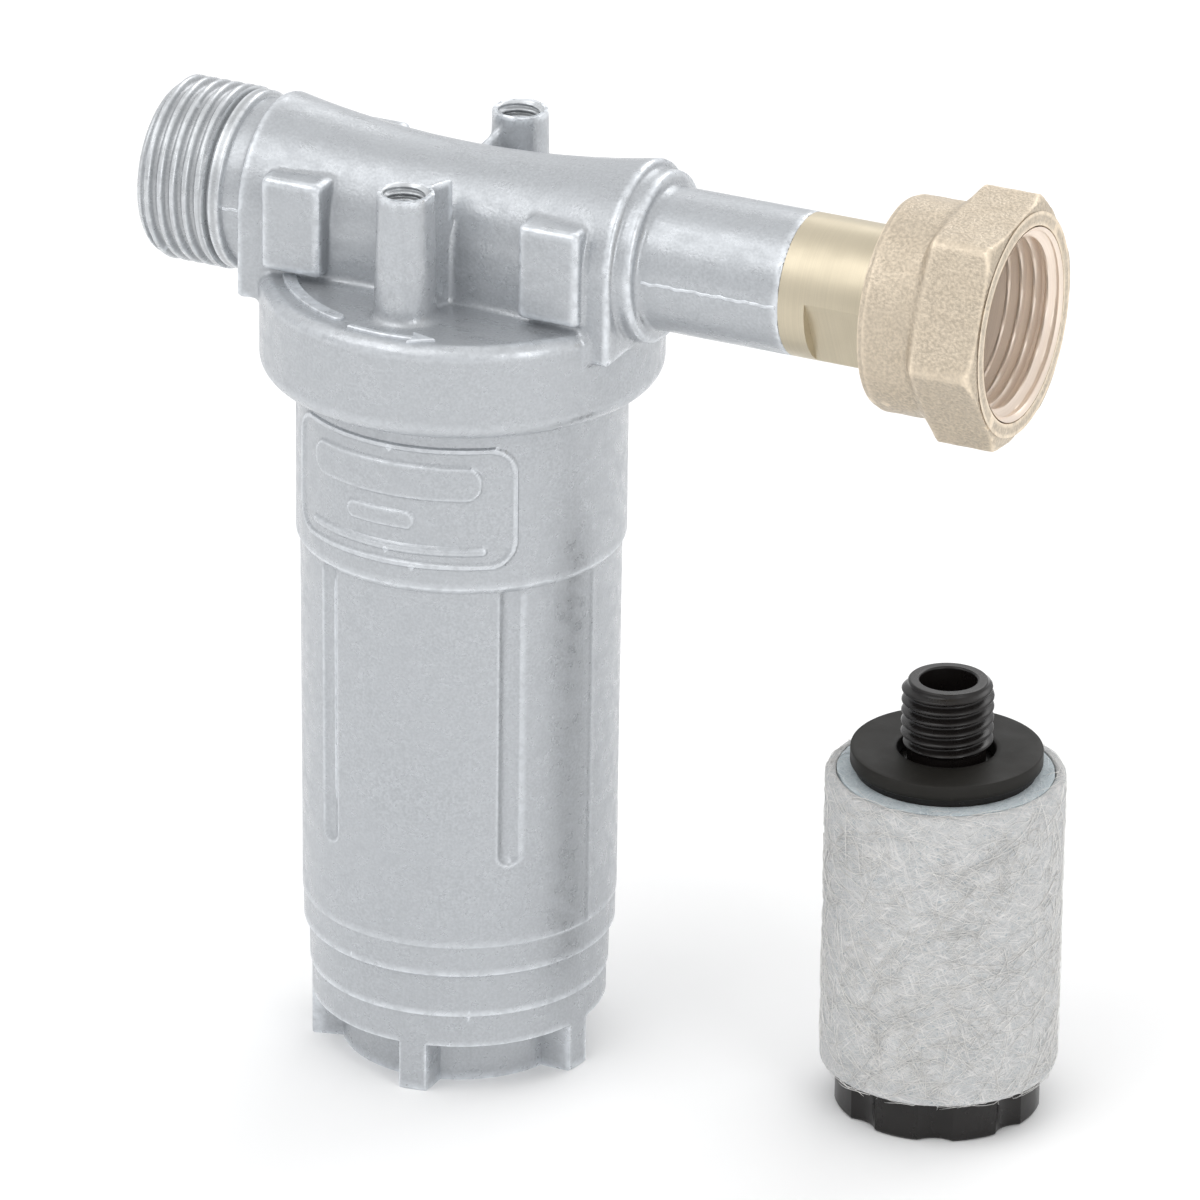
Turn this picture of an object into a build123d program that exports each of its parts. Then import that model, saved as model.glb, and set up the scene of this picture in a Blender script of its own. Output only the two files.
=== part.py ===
from build123d import *
from math import cos, radians, sin, tan
import os

# An in-line gas filter with a screw-on cup, and its spare cartridge beside it.
# Millimetres. +Z runs up the cup's axis, z = 0 is under the cup's feet, and +X runs towards the outlet.

# ---- pipe line -------------------------------------------------------------------------------
PIPE_HEIGHT = 96.2            # pipe axis above the feet
BODY_LENGTH = 44.0            # waisted part of the head, along X
BODY_END_RADIUS = 10.3        # its radius at both ends
BODY_WAIST_RADIUS = 8.2       # its radius in the middle
INLET_LENGTH = 12.6           # stands out past the body towards -X
INLET_THREAD_RADIUS = 10.0    # M20 x 1.5, outside
INLET_THREAD_LENGTH = 8.8
INLET_NECK_RADIUS = 9.1
INLET_CHAMFER = 0.9
INLET_BORE_RADIUS = 6.0
SHOULDER_RADIUS = 9.3         # step between body and outlet tube
SHOULDER_LENGTH = 2.0
TUBE_RADIUS = 7.72
TUBE_END_X = 40.4
OUTLET_BORE_RADIUS = 4.6

# ---- collar that holds the cup ---------------------------------------------------------------
COLLAR_RADIUS = 21.8
COLLAR_BOTTOM = 79.3
COLLAR_TOP = 90.0
COLLAR_BOTTOM_FILLET = 2.0
COLLAR_TOP_FILLET = 0.9
COLLAR_MOUTH_DEPTH = 1.1      # plain counterbore that the cup's band enters
CEILING_THICKNESS = 1.6
WEB_DROP = 3.2                # how far the body's ends hang below the collar's top

# ---- pads and bosses on the head -------------------------------------------------------------
PAD_WIDTH = 7.1
PAD_SPACING = 30.4            # centre to centre along X
PAD_BOTTOM = 90.9
PAD_TOP = 101.4
PAD_FACE_Y = 10.9             # its flat face, from the middle plane
PAD_FILLET = 0.6
BOSS_SPACING = 27.4           # centre to centre across the body
BOSS_TOP = 104.2
BOSS_TOP_RADIUS = 3.05
BOSS_BASE_RADIUS = 3.35
BOSS_FOOT_RADIUS = 3.9        # flared foot on the collar
BOSS_FOOT_HEIGHT = 0.8
BOSS_HOLE_RADIUS = 2.1        # M5 core
BOSS_HOLE_DEPTH = 11.0
BOSS_HOLE_CHAMFER = 0.45

# ---- cup -------------------------------------------------------------------------------------
BAND_RADIUS = 17.9
BAND_BOTTOM = 60.6
BAND_CHAMFER = 0.5
BODY_TOP_RADIUS = 17.45       # tapered wall, at the band
BODY_FOOT_RADIUS = 17.1       # tapered wall, at the foot step
FOOT_STEP_HEIGHT = 14.5
FOOT_STEP_RADIUS = 16.5
FOOT_STEP_CHAMFER = 0.5
FOOT_RIB_HEIGHT = 9.4         # fine step part way down the foot
FOOT_WALL_RADIUS = 16.2
FOOT_WALL_BOTTOM = 5.5
FOOT_TAPER = 0.1              # radial, on the foot above its fine step
FLOOR_DISC_RADIUS = 12.4      # stands level with the feet
FEET = 5
FOOT_WIDTH = 3.05
FIRST_FOOT_ANGLE = -81.9      # from +X, about +Z
FLUTE_WIDTH = 2.4
FLUTE_DEPTH = 0.5
FLUTE_BOTTOM = 27.6
CUP_INNER_RADIUS = 14.6
CUP_SUMP_RADIUS = 13.8
CUP_SUMP_TOP = 14.5
CUP_WELL_RADIUS = 10.0
CUP_WELL_TOP = 7.5
CUP_FLOOR = 2.7

# ---- cup thread and its seal -----------------------------------------------------------------
CUP_THREAD_CREST = 17.5       # plain here, M35 x 1.5 on the real cup
CUP_THREAD_CLEARANCE = 0.1    # radial, male crest to female crest
CUP_MOUTH_CLEARANCE = 0.3     # radial, band in the collar's mouth
SEAL_BORE_RADIUS = 17.0
SEAL_BORE_DEPTH = 2.8         # below the ceiling
PILOT_CLEARANCE = 0.3         # radial, cup's rim in the seal bore
CUP_STOP_GAP = 0.1            # cup's shoulder to the collar, screwed home
CUP_RIM_GAP = 0.4             # cup's rim to the ceiling, screwed home
O_RING_SECTION = 1.45
O_RING_CLEARANCE = 0.05       # radial, on both sides of the ring
O_RING_SIDE_GAP = 0.15        # groove wider than the ring, on each side

# ---- cartridge seat in the head --------------------------------------------------------------
SEAT_HEIGHT = 81.0
SEAT_BOSS_RADIUS = 10.9
STUB_CLEARANCE = 0.08         # radial, cartridge stub in the head
STUB_TOP_GAP = 0.4
STUB_PORT_RADIUS = 3.4
INLET_PORT_RADIUS = 2.4
PASSAGE_WALL = 3.0            # between the inlet and outlet passages

# ---- outlet spigot, nut and gasket -----------------------------------------------------------
SPIGOT_SHANK_RADIUS = 6.0
SPIGOT_SHANK_LENGTH = 12.0
SPIGOT_SHANK_CLEARANCE = 0.02
SPIGOT_RADIUS = 7.7
SPIGOT_BORE_RADIUS = 3.6
SPIGOT_FLATS_AF = 13.0
SPIGOT_FLATS_START = 3.0      # past the tube's end
SPIGOT_FLATS_LENGTH = 8.0
SPIGOT_FLATS_ANGLE = 25.0     # one flat faces forwards and this much down
FLANGE_RADIUS = 8.9
FLANGE_THICKNESS = 2.0
SPIGOT_RING_SECTION = 1.3
SPIGOT_RING_PLACE = 5.0       # back from the tube's end
NUT_START_X = 50.8
NUT_LENGTH = 14.3
NUT_ROUND_RADIUS = 11.55
NUT_ROUND_LENGTH = 6.6
NUT_ACROSS_FLATS = 24.0
NUT_TURN = 6.7                # one corner, up from +Y
NUT_CORNER_FILLET = 2.6
NUT_FACE_RADIUS = 12.3        # round front face, inside the corners' chamfer
NUT_CHAMFER_SLOPE = 30.0      # degrees from the front face
NUT_WALL = 2.2
NUT_HOLE_CLEARANCE = 0.2      # radial, on the spigot
NUT_BORE_RADIUS = 9.19        # M20 x 1.5, inside
NUT_RELIEF_RADIUS = 9.6       # behind the thread, round the flange and gasket
NUT_RELIEF_LENGTH = 4.1
NUT_MOUTH_CHAMFER = 1.0
NUT_ROUND_FILLET = 1.0
NUT_HEX_BACK_CHAMFER = 0.5
NUT_SHOULDER_GAP = 0.1
GASKET_THICKNESS = 2.0
GASKET_INNER_RADIUS = 6.0
GASKET_RADIUS = 8.8

# ---- cartridge -------------------------------------------------------------------------------
STUB_RADIUS = 5.0             # M10, outside
STUB_LENGTH = 8.0
STUB_CHAMFER = 0.6
STUB_BORE_RADIUS = 3.1
SEAL_DISC_RADIUS = 10.45
SEAL_DISC_THICKNESS = 1.7
SEAL_DISC_CLEARANCE = 0.35    # radial, around the stub
FITTING_FLANGE_RADIUS = 9.8
FITTING_FLANGE_THICKNESS = 0.9
FITTING_SKIRT_LENGTH = 3.0
FITTING_SKIRT_WALL = 0.9
SUPPORT_TUBE_RADIUS = 4.3
SUPPORT_TUBE_BORE = 3.1
TUBE_SOCKET_CLEARANCE = 0.05  # radial, tube in skirt and cap
SLOT_ROWS = 6
SLOTS_AROUND = 6
SLOT_HEIGHT = 3.2
SLOT_WIDTH = 1.6
SLOT_CORNER_RADIUS = 0.75
FLEECE_LENGTH = 34.4
FLEECE_BORE_CLEARANCE = 0.1   # radial, on the skirt
FLEECE_SPLIT_RADIUS = 11.9    # where the inner layer meets the outer wrap
FLEECE_RADIUS = 13.1
FLEECE_LAYER_GAP = 0.05
END_CAP_RADIUS = 11.3
END_CAP_HEIGHT = 5.0
END_CAP_LOBES = 8
END_CAP_SCALLOP_RADIUS = 3.2
END_CAP_SCALLOP_DEPTH = 0.75
END_CAP_SOCKET_DEPTH = 3.0
END_CAP_FILLET = 0.5
SPARE_X = 54.0                # the spare cartridge's place on the floor
SPARE_Y = 8.6

OVERLAP = 1.0                 # how far joins and cuts run past the face they start from

# ---- worked out from the sizes above ---------------------------------------------------------
HALF_BODY = BODY_LENGTH / 2
WAIST_SAG = BODY_END_RADIUS - BODY_WAIST_RADIUS
INLET_END_X = -HALF_BODY - INLET_LENGTH
CEILING = COLLAR_TOP - CEILING_THICKNESS
SEAL_BORE_BOTTOM = CEILING - SEAL_BORE_DEPTH
FEMALE_CREST = CUP_THREAD_CREST + CUP_THREAD_CLEARANCE
MOUTH_RADIUS = BAND_RADIUS + CUP_MOUTH_CLEARANCE
MOUTH_CEILING = COLLAR_BOTTOM + COLLAR_MOUTH_DEPTH
CUP_SHOULDER = MOUTH_CEILING - CUP_STOP_GAP
CUP_RIM = CEILING - CUP_RIM_GAP
PILOT_RADIUS = SEAL_BORE_RADIUS - PILOT_CLEARANCE
O_RING_OUTER = SEAL_BORE_RADIUS - O_RING_CLEARANCE
O_RING_CENTRE = O_RING_OUTER - O_RING_SECTION / 2
GROOVE_RADIUS = O_RING_OUTER - O_RING_SECTION - O_RING_CLEARANCE
GROOVE_HEIGHT = O_RING_SECTION + 2 * O_RING_SIDE_GAP
O_RING_HEIGHT = (CUP_RIM + SEAL_BORE_BOTTOM) / 2
STUB_HOLE_RADIUS = STUB_RADIUS + STUB_CLEARANCE
FLANGE_BACK_X = NUT_START_X + NUT_WALL + NUT_SHOULDER_GAP
FLANGE_FACE_X = FLANGE_BACK_X + FLANGE_THICKNESS
SKIRT_RADIUS = SUPPORT_TUBE_RADIUS + TUBE_SOCKET_CLEARANCE + FITTING_SKIRT_WALL
FLEECE_BORE = SKIRT_RADIUS + FLEECE_BORE_CLEARANCE
FLANGE_TOP = -SEAL_DISC_THICKNESS
FLANGE_BOTTOM = FLANGE_TOP - FITTING_FLANGE_THICKNESS
FLEECE_BOTTOM = FLANGE_BOTTOM - FLEECE_LENGTH
CARTRIDGE_BOTTOM = FLEECE_BOTTOM - END_CAP_HEIGHT

# Planes with their origin on the pipe axis; the second looks along +X from the inlet's end.
pipe_profile = Plane(origin=(0, 0, PIPE_HEIGHT), x_dir=(1, 0, 0), z_dir=(0, -1, 0))
pipe_axis = Axis((0, 0, PIPE_HEIGHT), (1, 0, 0))


def across_pipe(x):
    """The plane across the pipe at x, facing +X, with its own x along +Y and its y up."""
    return Plane(origin=(x, 0, PIPE_HEIGHT), x_dir=(0, 1, 0), z_dir=(1, 0, 0))


# ---- head casting ----------------------------------------------------------------------------
with BuildPart() as head_casting:
    # Collar, with its edges rounded by the casting die.
    with BuildSketch(Plane.XY.offset(COLLAR_BOTTOM)):
        Circle(COLLAR_RADIUS)
    extrude(amount=COLLAR_TOP - COLLAR_BOTTOM)
    fillet(head_casting.edges().group_by(Axis.Z)[-1], COLLAR_TOP_FILLET)
    fillet(head_casting.edges().group_by(Axis.Z)[0], COLLAR_BOTTOM_FILLET)

    # Pipe body: a waisted round above, and straight walls of the same width down to the collar.
    with BuildSketch(pipe_profile):
        with BuildLine():
            waist = SagittaArc((-HALF_BODY, BODY_END_RADIUS), (HALF_BODY, BODY_END_RADIUS), -WAIST_SAG)
            Polyline(waist @ 1, (HALF_BODY, 0), (-HALF_BODY, 0), waist @ 0)
        make_face()
    revolve(axis=pipe_axis)
    with BuildSketch(Plane.XY.offset(COLLAR_TOP - WEB_DROP)) as plan:
        with BuildLine():
            back = SagittaArc((-HALF_BODY, BODY_END_RADIUS), (HALF_BODY, BODY_END_RADIUS), -WAIST_SAG)
            Line(back @ 1, (HALF_BODY, -BODY_END_RADIUS))
            front = SagittaArc((HALF_BODY, -BODY_END_RADIUS), (-HALF_BODY, -BODY_END_RADIUS), -WAIST_SAG)
            Line(front @ 1, back @ 0)
        make_face()
    extrude(amount=PIPE_HEIGHT - COLLAR_TOP + WEB_DROP)

    # Inlet: neck and threaded end.
    with BuildSketch(across_pipe(INLET_END_X + INLET_THREAD_LENGTH)):
        Circle(INLET_NECK_RADIUS)
    extrude(amount=INLET_LENGTH - INLET_THREAD_LENGTH + OVERLAP)
    with BuildSketch(across_pipe(INLET_END_X)):
        Circle(INLET_THREAD_RADIUS)
    extrude(amount=INLET_THREAD_LENGTH)
    chamfer(head_casting.edges().filter_by(GeomType.CIRCLE).group_by(Axis.X)[0], INLET_CHAMFER)

    # Outlet: shoulder and tube.
    with BuildSketch(across_pipe(HALF_BODY - OVERLAP)):
        Circle(SHOULDER_RADIUS)
    extrude(amount=SHOULDER_LENGTH + OVERLAP)
    with BuildSketch(across_pipe(HALF_BODY)):
        Circle(TUBE_RADIUS)
    extrude(amount=TUBE_END_X - HALF_BODY)

    # Four wrench pads on the body's sides.
    with BuildSketch(Plane.XY.offset(PAD_BOTTOM)):
        with Locations((-PAD_SPACING / 2, 0), (PAD_SPACING / 2, 0)):
            RectangleRounded(PAD_WIDTH, 2 * PAD_FACE_Y, PAD_FILLET)
    extrude(amount=PAD_TOP - PAD_BOTTOM)

    # Two bracket bosses beside the body, each on a flared foot.
    for side in (-1, 1):
        with BuildSketch(Plane.XZ.offset(-side * BOSS_SPACING / 2)):
            with BuildLine():
                Polyline(
                    (0, COLLAR_TOP - OVERLAP),
                    (BOSS_FOOT_RADIUS, COLLAR_TOP - OVERLAP),
                    (BOSS_FOOT_RADIUS, COLLAR_TOP),
                    (BOSS_BASE_RADIUS, COLLAR_TOP + BOSS_FOOT_HEIGHT),
                    (BOSS_TOP_RADIUS, BOSS_TOP),
                    (0, BOSS_TOP),
                    (0, COLLAR_TOP - OVERLAP),
                )
            make_face()
        revolve(axis=Axis((0, side * BOSS_SPACING / 2, 0), (0, 0, 1)))

    # Room for the cup: mouth, thread and seal bore, around the cartridge's seat.
    with BuildSketch(Plane.XZ) as cup_room:
        with BuildLine():
            Polyline(
                (0, COLLAR_BOTTOM - OVERLAP),
                (MOUTH_RADIUS, COLLAR_BOTTOM - OVERLAP),
                (MOUTH_RADIUS, MOUTH_CEILING),
                (FEMALE_CREST, MOUTH_CEILING),
                (FEMALE_CREST, SEAL_BORE_BOTTOM),
                (SEAL_BORE_RADIUS, SEAL_BORE_BOTTOM),
                (SEAL_BORE_RADIUS, CEILING),
                (SEAT_BOSS_RADIUS, CEILING),
                (SEAT_BOSS_RADIUS, SEAT_HEIGHT),
                (0, SEAT_HEIGHT),
                (0, COLLAR_BOTTOM - OVERLAP),
            )
        make_face()
    revolve(axis=Axis.Z, mode=Mode.SUBTRACT)

    # Gas passages: inlet bore and its port down into the cup, stub hole, and outlet bore.
    port_x = -(SEAT_BOSS_RADIUS + SEAL_BORE_RADIUS) / 2
    with BuildSketch(across_pipe(INLET_END_X)):
        Circle(INLET_BORE_RADIUS)
    extrude(amount=port_x + INLET_PORT_RADIUS - INLET_END_X, mode=Mode.SUBTRACT)
    with BuildSketch(Plane.XY.offset(CEILING - OVERLAP)):
        with Locations((port_x, 0)):
            Circle(INLET_PORT_RADIUS)
    extrude(amount=PIPE_HEIGHT - CEILING + OVERLAP, mode=Mode.SUBTRACT)
    with BuildSketch(Plane.XY.offset(SEAT_HEIGHT)):
        Circle(STUB_HOLE_RADIUS)
    extrude(amount=STUB_LENGTH + STUB_TOP_GAP, mode=Mode.SUBTRACT)
    with BuildSketch(Plane.XY.offset(SEAT_HEIGHT)):
        Circle(STUB_PORT_RADIUS)
    extrude(amount=PIPE_HEIGHT - SEAT_HEIGHT, mode=Mode.SUBTRACT)
    outlet_start_x = port_x + INLET_PORT_RADIUS + PASSAGE_WALL
    with BuildSketch(across_pipe(outlet_start_x)):
        Circle(OUTLET_BORE_RADIUS)
    extrude(amount=TUBE_END_X - outlet_start_x, mode=Mode.SUBTRACT)
    with BuildSketch(across_pipe(TUBE_END_X - SPIGOT_SHANK_LENGTH)):
        Circle(SPIGOT_SHANK_RADIUS)
    extrude(amount=SPIGOT_SHANK_LENGTH, mode=Mode.SUBTRACT)

    # Bracket screw holes.
    with Locations(Plane.XY.offset(BOSS_TOP)):
        with Locations((0, -BOSS_SPACING / 2), (0, BOSS_SPACING / 2)):
            CounterSinkHole(
                BOSS_HOLE_RADIUS,
                BOSS_HOLE_RADIUS + BOSS_HOLE_CHAMFER,
                depth=BOSS_HOLE_DEPTH,
                counter_sink_angle=90,
            )

# ---- cup casting -----------------------------------------------------------------------------
with BuildPart() as cup_casting:
    with BuildSketch(Plane.XZ) as cup_wall:
        with BuildLine():
            Polyline(
                (0, 0),
                (FLOOR_DISC_RADIUS, 0),
                (FLOOR_DISC_RADIUS, FOOT_WALL_BOTTOM),
                (FOOT_WALL_RADIUS, FOOT_WALL_BOTTOM),
                (FOOT_WALL_RADIUS, FOOT_RIB_HEIGHT),
                (FOOT_STEP_RADIUS - FOOT_TAPER, FOOT_RIB_HEIGHT),
                (FOOT_STEP_RADIUS, FOOT_STEP_HEIGHT - FOOT_STEP_CHAMFER),
                (BODY_FOOT_RADIUS, FOOT_STEP_HEIGHT),
                (BODY_TOP_RADIUS, BAND_BOTTOM - BAND_CHAMFER),
                (BAND_RADIUS, BAND_BOTTOM),
                (BAND_RADIUS, CUP_SHOULDER),
                (CUP_THREAD_CREST, CUP_SHOULDER),
                (CUP_THREAD_CREST, SEAL_BORE_BOTTOM - CUP_STOP_GAP),
                (PILOT_RADIUS, SEAL_BORE_BOTTOM - CUP_STOP_GAP),
                (PILOT_RADIUS, O_RING_HEIGHT - GROOVE_HEIGHT / 2),
                (GROOVE_RADIUS, O_RING_HEIGHT - GROOVE_HEIGHT / 2),
                (GROOVE_RADIUS, O_RING_HEIGHT + GROOVE_HEIGHT / 2),
                (PILOT_RADIUS, O_RING_HEIGHT + GROOVE_HEIGHT / 2),
                (PILOT_RADIUS, CUP_RIM),
                (CUP_INNER_RADIUS, CUP_RIM),
                (CUP_INNER_RADIUS, CUP_SUMP_TOP + CUP_INNER_RADIUS - CUP_SUMP_RADIUS),
                (CUP_SUMP_RADIUS, CUP_SUMP_TOP),
                (CUP_SUMP_RADIUS, CUP_WELL_TOP),
                (CUP_WELL_RADIUS, CUP_WELL_TOP),
                (CUP_WELL_RADIUS, CUP_FLOOR),
                (0, CUP_FLOOR),
                (0, 0),
            )
        make_face()
    revolve(axis=Axis.Z)

    # Five feet under the wall, which a peg spanner can also grip.
    with BuildSketch(Plane.XY) as feet:
        with PolarLocations(0, FEET, start_angle=FIRST_FOOT_ANGLE):
            with Locations((FOOT_WALL_RADIUS / 2, 0)):
                Rectangle(FOOT_WALL_RADIUS, FOOT_WIDTH)
        Circle(FOOT_WALL_RADIUS, mode=Mode.INTERSECT)
        Circle(FLOOR_DISC_RADIUS - OVERLAP, mode=Mode.SUBTRACT)
    extrude(amount=FOOT_WALL_BOTTOM)

    # Five shallow flutes down the wall, midway between the feet.
    flute_radius = (FLUTE_WIDTH**2 / 4 + FLUTE_DEPTH**2) / (2 * FLUTE_DEPTH)
    with BuildSketch(Plane.XY.offset(FLUTE_BOTTOM)) as flutes:
        with PolarLocations(
            BODY_TOP_RADIUS - FLUTE_DEPTH + flute_radius, FEET, start_angle=FIRST_FOOT_ANGLE + 180 / FEET
        ):
            Circle(flute_radius)
    extrude(amount=BAND_BOTTOM - BAND_CHAMFER - FLUTE_BOTTOM, mode=Mode.SUBTRACT)

# ---- cup seal --------------------------------------------------------------------------------
with BuildPart() as cup_o_ring:
    with BuildSketch(Plane.XZ):
        with Locations((O_RING_CENTRE, O_RING_HEIGHT)):
            Circle(O_RING_SECTION / 2)
    revolve(axis=Axis.Z)

# ---- outlet spigot ---------------------------------------------------------------------------
shank_radius = SPIGOT_SHANK_RADIUS - SPIGOT_SHANK_CLEARANCE
ring_x = TUBE_END_X - SPIGOT_RING_PLACE
ring_groove = shank_radius - SPIGOT_RING_SECTION
with BuildPart() as outlet_spigot:
    with BuildSketch(pipe_profile):
        with BuildLine():
            Polyline(
                (TUBE_END_X - SPIGOT_SHANK_LENGTH, SPIGOT_BORE_RADIUS),
                (TUBE_END_X - SPIGOT_SHANK_LENGTH, shank_radius),
                (ring_x - SPIGOT_RING_SECTION / 2, shank_radius),
                (ring_x - SPIGOT_RING_SECTION / 2, ring_groove),
                (ring_x + SPIGOT_RING_SECTION / 2, ring_groove),
                (ring_x + SPIGOT_RING_SECTION / 2, shank_radius),
                (TUBE_END_X, shank_radius),
                (TUBE_END_X, SPIGOT_RADIUS),
                (FLANGE_BACK_X, SPIGOT_RADIUS),
                (FLANGE_BACK_X, FLANGE_RADIUS),
                (FLANGE_FACE_X, FLANGE_RADIUS),
                (FLANGE_FACE_X, SPIGOT_BORE_RADIUS),
                close=True,
            )
        make_face()
    revolve(axis=pipe_axis)
    # Two wrench flats, cut between the tube's end and the nut's flange.
    with BuildSketch(across_pipe(TUBE_END_X + SPIGOT_FLATS_START)):
        Circle(SPIGOT_RADIUS + OVERLAP)
        Rectangle(SPIGOT_FLATS_AF, 3 * SPIGOT_RADIUS, rotation=SPIGOT_FLATS_ANGLE, mode=Mode.SUBTRACT)
    extrude(amount=SPIGOT_FLATS_LENGTH, mode=Mode.SUBTRACT)

with BuildPart() as spigot_o_ring:
    with BuildSketch(pipe_profile):
        with Locations((ring_x, shank_radius - SPIGOT_RING_SECTION / 2)):
            Circle(SPIGOT_RING_SECTION / 2 - SPIGOT_SHANK_CLEARANCE)
    revolve(axis=pipe_axis)

# ---- union nut -------------------------------------------------------------------------------
nut_end_x = NUT_START_X + NUT_LENGTH
with BuildPart() as union_nut:
    with BuildSketch(across_pipe(NUT_START_X + NUT_ROUND_LENGTH)) as hexagon:
        RegularPolygon(NUT_ACROSS_FLATS / 2, 6, major_radius=False, rotation=NUT_TURN)
        fillet(hexagon.vertices(), NUT_CORNER_FILLET)
    extrude(amount=NUT_LENGTH - NUT_ROUND_LENGTH)
    with BuildSketch(across_pipe(NUT_START_X)):
        Circle(NUT_ROUND_RADIUS)
    extrude(amount=NUT_LENGTH)
    # Turned outline: rounded back edge, and a cone that trims the corners at the front.
    corner_radius = NUT_ACROSS_FLATS / 2 / cos(radians(30))
    front_chamfer = (corner_radius - NUT_FACE_RADIUS) * tan(radians(NUT_CHAMFER_SLOPE))
    hex_start_x = NUT_START_X + NUT_ROUND_LENGTH
    with BuildSketch(pipe_profile):
        with BuildLine():
            Polyline(
                (NUT_START_X, 0),
                (NUT_START_X, NUT_ROUND_RADIUS - NUT_ROUND_FILLET),
                (NUT_START_X + NUT_ROUND_FILLET, NUT_ROUND_RADIUS),
                (hex_start_x, NUT_ROUND_RADIUS),
                (hex_start_x, corner_radius - NUT_HEX_BACK_CHAMFER),
                (hex_start_x + NUT_HEX_BACK_CHAMFER, corner_radius),
                (nut_end_x - front_chamfer, corner_radius),
                (nut_end_x, NUT_FACE_RADIUS),
                (nut_end_x, 0),
                close=True,
            )
        make_face()
    revolve(axis=pipe_axis, mode=Mode.INTERSECT)
    # Hole for the spigot, then the threaded bore with its wide mouth.
    with BuildSketch(pipe_profile):
        with BuildLine():
            Polyline(
                (NUT_START_X - OVERLAP, 0),
                (NUT_START_X - OVERLAP, SPIGOT_RADIUS + NUT_HOLE_CLEARANCE),
                (NUT_START_X + NUT_WALL, SPIGOT_RADIUS + NUT_HOLE_CLEARANCE),
                (NUT_START_X + NUT_WALL, NUT_RELIEF_RADIUS),
                (NUT_START_X + NUT_WALL + NUT_RELIEF_LENGTH, NUT_RELIEF_RADIUS),
                (NUT_START_X + NUT_WALL + NUT_RELIEF_LENGTH, NUT_BORE_RADIUS),
                (nut_end_x - NUT_MOUTH_CHAMFER, NUT_BORE_RADIUS),
                (nut_end_x, NUT_BORE_RADIUS + NUT_MOUTH_CHAMFER),
                (nut_end_x + OVERLAP, NUT_BORE_RADIUS + NUT_MOUTH_CHAMFER),
                (nut_end_x + OVERLAP, 0),
                close=True,
            )
        make_face()
    revolve(axis=pipe_axis, mode=Mode.SUBTRACT)

with BuildPart() as outlet_gasket:
    with BuildSketch(across_pipe(FLANGE_FACE_X)):
        Circle(GASKET_RADIUS)
        Circle(GASKET_INNER_RADIUS, mode=Mode.SUBTRACT)
    extrude(amount=GASKET_THICKNESS)


# ---- cartridge, made once for the seat in the head and once as the spare -----------------------
def ring(x, y, bottom, height, outer, inner):
    """A plain tube standing on the given height."""
    with BuildPart() as tube:
        with BuildSketch(Plane.XY.offset(bottom)):
            with Locations((x, y)):
                Circle(outer)
                Circle(inner, mode=Mode.SUBTRACT)
        extrude(amount=height)
    return tube.part


def end_fitting(x, y, seat):
    """Threaded stub, flange and the skirt that holds the support tube."""
    with BuildPart() as fitting:
        with BuildSketch(Plane(origin=(x, y, seat), x_dir=(1, 0, 0), z_dir=(0, -1, 0))):
            with BuildLine():
                Polyline(
                    (STUB_BORE_RADIUS, STUB_LENGTH),
                    (STUB_RADIUS - STUB_CHAMFER, STUB_LENGTH),
                    (STUB_RADIUS, STUB_LENGTH - STUB_CHAMFER),
                    (STUB_RADIUS, FLANGE_TOP),
                    (FITTING_FLANGE_RADIUS, FLANGE_TOP),
                    (FITTING_FLANGE_RADIUS, FLANGE_BOTTOM),
                    (SKIRT_RADIUS, FLANGE_BOTTOM),
                    (SKIRT_RADIUS, FLANGE_BOTTOM - FITTING_SKIRT_LENGTH),
                    (SKIRT_RADIUS - FITTING_SKIRT_WALL, FLANGE_BOTTOM - FITTING_SKIRT_LENGTH),
                    (SKIRT_RADIUS - FITTING_SKIRT_WALL, FLANGE_BOTTOM),
                    (STUB_BORE_RADIUS, FLANGE_BOTTOM),
                    close=True,
                )
            make_face()
        revolve(axis=Axis((x, y, 0), (0, 0, 1)))
    return fitting.part


def support_tube(x, y, seat):
    """Tube that holds the fleece open, with rows of slots that let the gas in."""
    top = seat + FLANGE_BOTTOM
    bottom = seat + FLEECE_BOTTOM - END_CAP_SOCKET_DEPTH
    slotted_top = top - FITTING_SKIRT_LENGTH
    slotted_length = slotted_top - seat - FLEECE_BOTTOM
    row_pitch = slotted_length / SLOT_ROWS
    with BuildPart() as tube:
        with BuildSketch(Plane.XY.offset(bottom)):
            with Locations((x, y)):
                Circle(SUPPORT_TUBE_RADIUS)
                Circle(SUPPORT_TUBE_BORE, mode=Mode.SUBTRACT)
        extrude(amount=top - bottom)
        for row in range(SLOT_ROWS):
            height = slotted_top - row_pitch * (row + 0.5)
            for turn in range(SLOTS_AROUND // 2):
                facing = 360 / SLOTS_AROUND * (turn + row % 2 / 2)
                direction = (cos(radians(facing)), sin(radians(facing)), 0)
                across = (-direction[1], direction[0], 0)
                with BuildSketch(Plane(origin=(x, y, height), x_dir=across, z_dir=direction)):
                    RectangleRounded(SLOT_WIDTH, SLOT_HEIGHT, SLOT_CORNER_RADIUS)
                extrude(amount=2 * SUPPORT_TUBE_RADIUS, both=True, mode=Mode.SUBTRACT)
    return tube.part


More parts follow.
